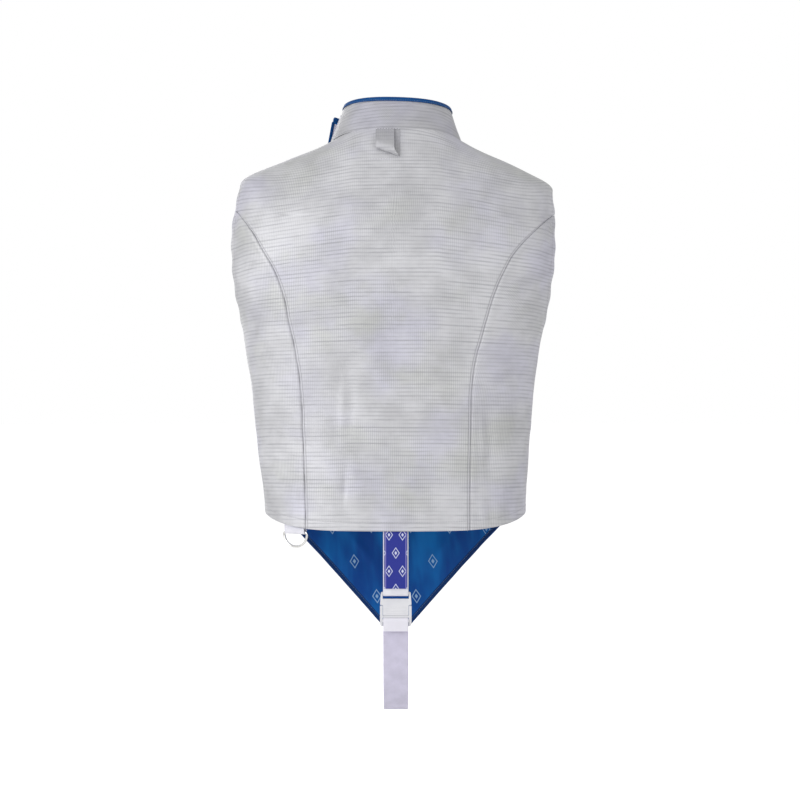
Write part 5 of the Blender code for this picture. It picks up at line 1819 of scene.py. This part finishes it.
def panelRow(panel, row, lift=0.0001):
    outward = panel["normal"][row, 1:-1]
    return panel["outer"][row, 1:-1] + outward * lift, outward


def sewPanels():
    near = nearest(edgeSteps, panelForm["stitchAway"])
    facing = nearest(edgeSteps, panelForm["facingAway"])
    rows = []
    back = panels["backPanel"]
    levels = back["levels"]
    for hand, column in ((-1, near), (1, -1 - near)):
        rows.append(panelColumn(back, column, levels <= tips[hand]))
    for hand, column in ((-1, facing), (1, -1 - facing)):
        rows.append(panelColumn(back, column, (levels > tips[hand] + 0.002)
                                & (levels < armholeHigh - 0.001)))
    sides = [panels["backSideLeftCloth"], panels["backSideRightCloth"]]
    for panel in sides:
        wide = np.linalg.norm(panel["bare"][:, 0] - panel["bare"][:, -1], axis=-1) > 0.026
        rows.append(panelColumn(panel, -1 - facing,
                                (panel["levels"] > armholeLow + 0.001) & wide))
    for panel in [back] + sides:
        hemRow = nearest(panel["levels"] - panel["levels"][0], panelForm["hemWidth"])
        rows.append(panelRow(panel, hemRow))
    front = panels["frontPanel"]
    side = panels["frontSide"]
    zipHem, hem = bodyForm["zipHemLevel"], bodyForm["hemLevel"]
    inArmhole = {name: (panels[name]["levels"] > armholeLow + 0.001)
                 & (panels[name]["levels"] < armholeHigh - 0.001)
                 for name in ("frontPanel", "frontSide")}
    for panel, column, picked in (
            (front, near, front["levels"] > zipHem + 0.002),
            (front, -1 - near, front["levels"] < hem - 0.004),
            (front, near, front["levels"] < zipHem - 0.002),
            (side, -1 - near, side["levels"] > side["levels"][0] + 0.004),
            (front, -1 - facing, inArmhole["frontPanel"]),
            (side, facing, inArmhole["frontSide"])):
        rows.append(panelColumn(panel, column, picked))
    return sew("panelStitches", rows, "thread")


def sewCollar():
    piece = collarPieces["collar"]
    row = nearest(piece["shares"], 0.075)
    outward = unit(piece["outer"][row] - piece["inner"][row])
    path = piece["outer"][row] + outward * 0.0001
    binding = collarPieces["binding"]
    low = collarPoint(binding["degrees"], 0.93, np.full(len(binding["degrees"]), 0.0014))
    return (sew("collarStitches", [(path, outward)], "thread"),
            sew("bindingStitches", [(low, binding["outs"])], "blueThread", "binding"))


def sewLining():
    piece = panels["frontLining"]
    column = nearest(edgeSteps, 0.0062)
    rows = []
    for place in (column, -1 - column):
        outward = -piece["normal"][:, place]
        rows.append((piece["inner"][:, place] + outward * 0.00012, outward))
    return sew("liningStitches", rows, "blueThread")


def sewStraps():
    rows = []
    path = backStrap["labelPath"]
    heading = unit(np.gradient(path, axis=0))
    out = np.cross(np.array([1.0, 0.0, 0.0]), heading)
    out = unit(out * np.sign(out[:, 1:2]))
    face = path + out * (strapForm["label"] / 2 + 0.00002)
    edgeX = strapForm["labelHalfWidth"] + 0.0004
    for sign in (-1, 1):
        rows.append((face + np.array([edgeX * sign, 0.0, 0.0]) - out * 0.0004, out))
    labelRows = sew("labelStitches", rows, "whiteThread", "label")
    face = ringPieces["face"]
    along, up, out = ringPieces["along"], ringPieces["up"], ringPieces["out"]
    reach = ringForm["tabHalfWidth"] - 0.0015
    rows = []
    for drop in (0.0022, 0.0010):
        middle = face + out * (strapForm["webbing"] / 2 + 0.0001) - up * drop
        rows.append((np.array([middle + along * x for x in np.linspace(-reach, reach, 11)]),
                     out))
    tabRows = sew("ringTabStitches", rows, "whiteThread", "ringTab")
    return labelRows, tabRows


def sewTab():
    rows = []
    for z, left, right, lift in tabForm["stitches"]:
        xs = np.linspace(left, right, 24)
        rows.append((onBack(xs, np.full(24, z), lift), unit(np.array([0.0, 1.0, 0.25]))))
    return sew("tabStitches", rows, "whiteThread", "clipTab")


def makeTeeth():
    levels = np.linspace(*zipForm["chainLevels"], 200)
    angles = angleOfX(levels, zipX(levels), "front")
    depth = (zipForm["toothThickness"] / 2 + zipForm["toothLift"] - bodyForm["cloth"]
             - zipForm["tapeDepth"])
    path = bodySurface(levels, angles, depth)
    outward = bodyNormal(levels, angles)
    made = pathObject("zipTeethChain", [path], [outward])
    return growTree(made, toothTree,
                    {"Pitch": zipForm["toothPitch"], "Reach": zipForm["toothReach"],
                     "Thickness": zipForm["toothThickness"], "Metal": looks["zipMetal"]},
                    "zipMetal")


panelStitches = sewPanels()
collarStitches, bindingStitches = sewCollar()
liningStitches = sewLining()
labelStitches, ringTabStitches = sewStraps()
tabStitches = sewTab()
zipTeeth = makeTeeth()
print("stitches and zip teeth made")

# CAD pieces that keep their shape get a finish of their own

for nodeName, lookName in (("zip_slider", "zipMetal"), ("zip_pull", "zipMetal")):
    mesh = frame["nodes"][nodeName].data
    mesh.materials.clear()
    mesh.materials.append(looks[lookName])

# What each piece rides on, and the CAD parts that it replaces and hides


def register(made, body, slotName, *nodes):
    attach(made, body)
    if nodes:
        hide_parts(*nodes)


clothRows = (  # piece, slot, node, how it is held, what it rests on
    (panels["backPanel"], "metallic_cloth", "back_panel", "hung", "frontPanelCloth",
     "frontSideCloth"),
    (panels["backSideLeftCloth"], "metallic_cloth", "back_side_left", "hung", "backPanelCloth"),
    (panels["backSideRightCloth"], "metallic_cloth", "back_side_right", "hung",
     "backPanelCloth"),
    (panels["frontPanel"], "metallic_cloth", "front_panel", "hung", "backPanelCloth"),
    (panels["frontSide"], "metallic_cloth", "front_side_left", "hung", "backPanelCloth"),
    (panels["frontLining"], "lining", "front_lining", "hung", "frontPanelCloth"),
    (collarPieces["collar"], "metallic_cloth", "collar", "hung", "backPanelCloth"),
    (collarPieces["collarLining"], "lining", "collar_lining", "hung", "collarCloth"),
    (collarPieces["hookTape"], "hook_tape", "flap_hook_tape", "hung", "collarLiningCloth"),
    (collarPieces["loopTape"], "hook_tape", "collar_loop_tape", "hung", "collarCloth"),
    (clipTab, "metallic_cloth", "clip_tab", "folded", "backPanelCloth"),
    (zipTape, "zip_cloth", "zip_tape", "hung", "frontPanelCloth"),
)
otherRows = (  # object, body, slot, nodes that it replaces
    (panelStitches, "garment", "metallic_cloth"),
    (collarStitches, "garment", "metallic_cloth"),
    (tabStitches, "garment", "metallic_cloth"),
    (bindingStitches, "garment", "binding"),
    (liningStitches, "garment", "binding"),
    (labelStitches, "garment", "webbing"),
    (ringTabStitches, "garment", "webbing"),
    (collarPieces["binding"]["object"], "garment", "binding", "collar_binding"),
    (collarPieces["flapBinding"]["object"], "garment", "binding", "flap_binding"),
    (backStrap["strap"], "garment", "webbing", "back_strap"),
    (backStrap["label"], "garment", "label", "strap_label"),
    (crotchStrap["strap"], "garment", "webbing", "crotch_strap"),
    (bucklePieces["upper"], "garment", "buckle", "buckle_upper"),
    (bucklePieces["lower"], "garment", "buckle", "buckle_lower"),
    (ringPieces["tab"], "garment", "webbing", "ring_tab"),
    (ringPieces["ring"], "ring", "ring_metal", "d_ring"),
    (zipTeeth, "garment", "zip_metal", "zip_chain"),
)
for piece, slotName, node, held, *restsOn in clothRows:
    register(piece["object"], "garment", slotName, node)
for row in otherRows:
    register(*row)

print("pieces placed")
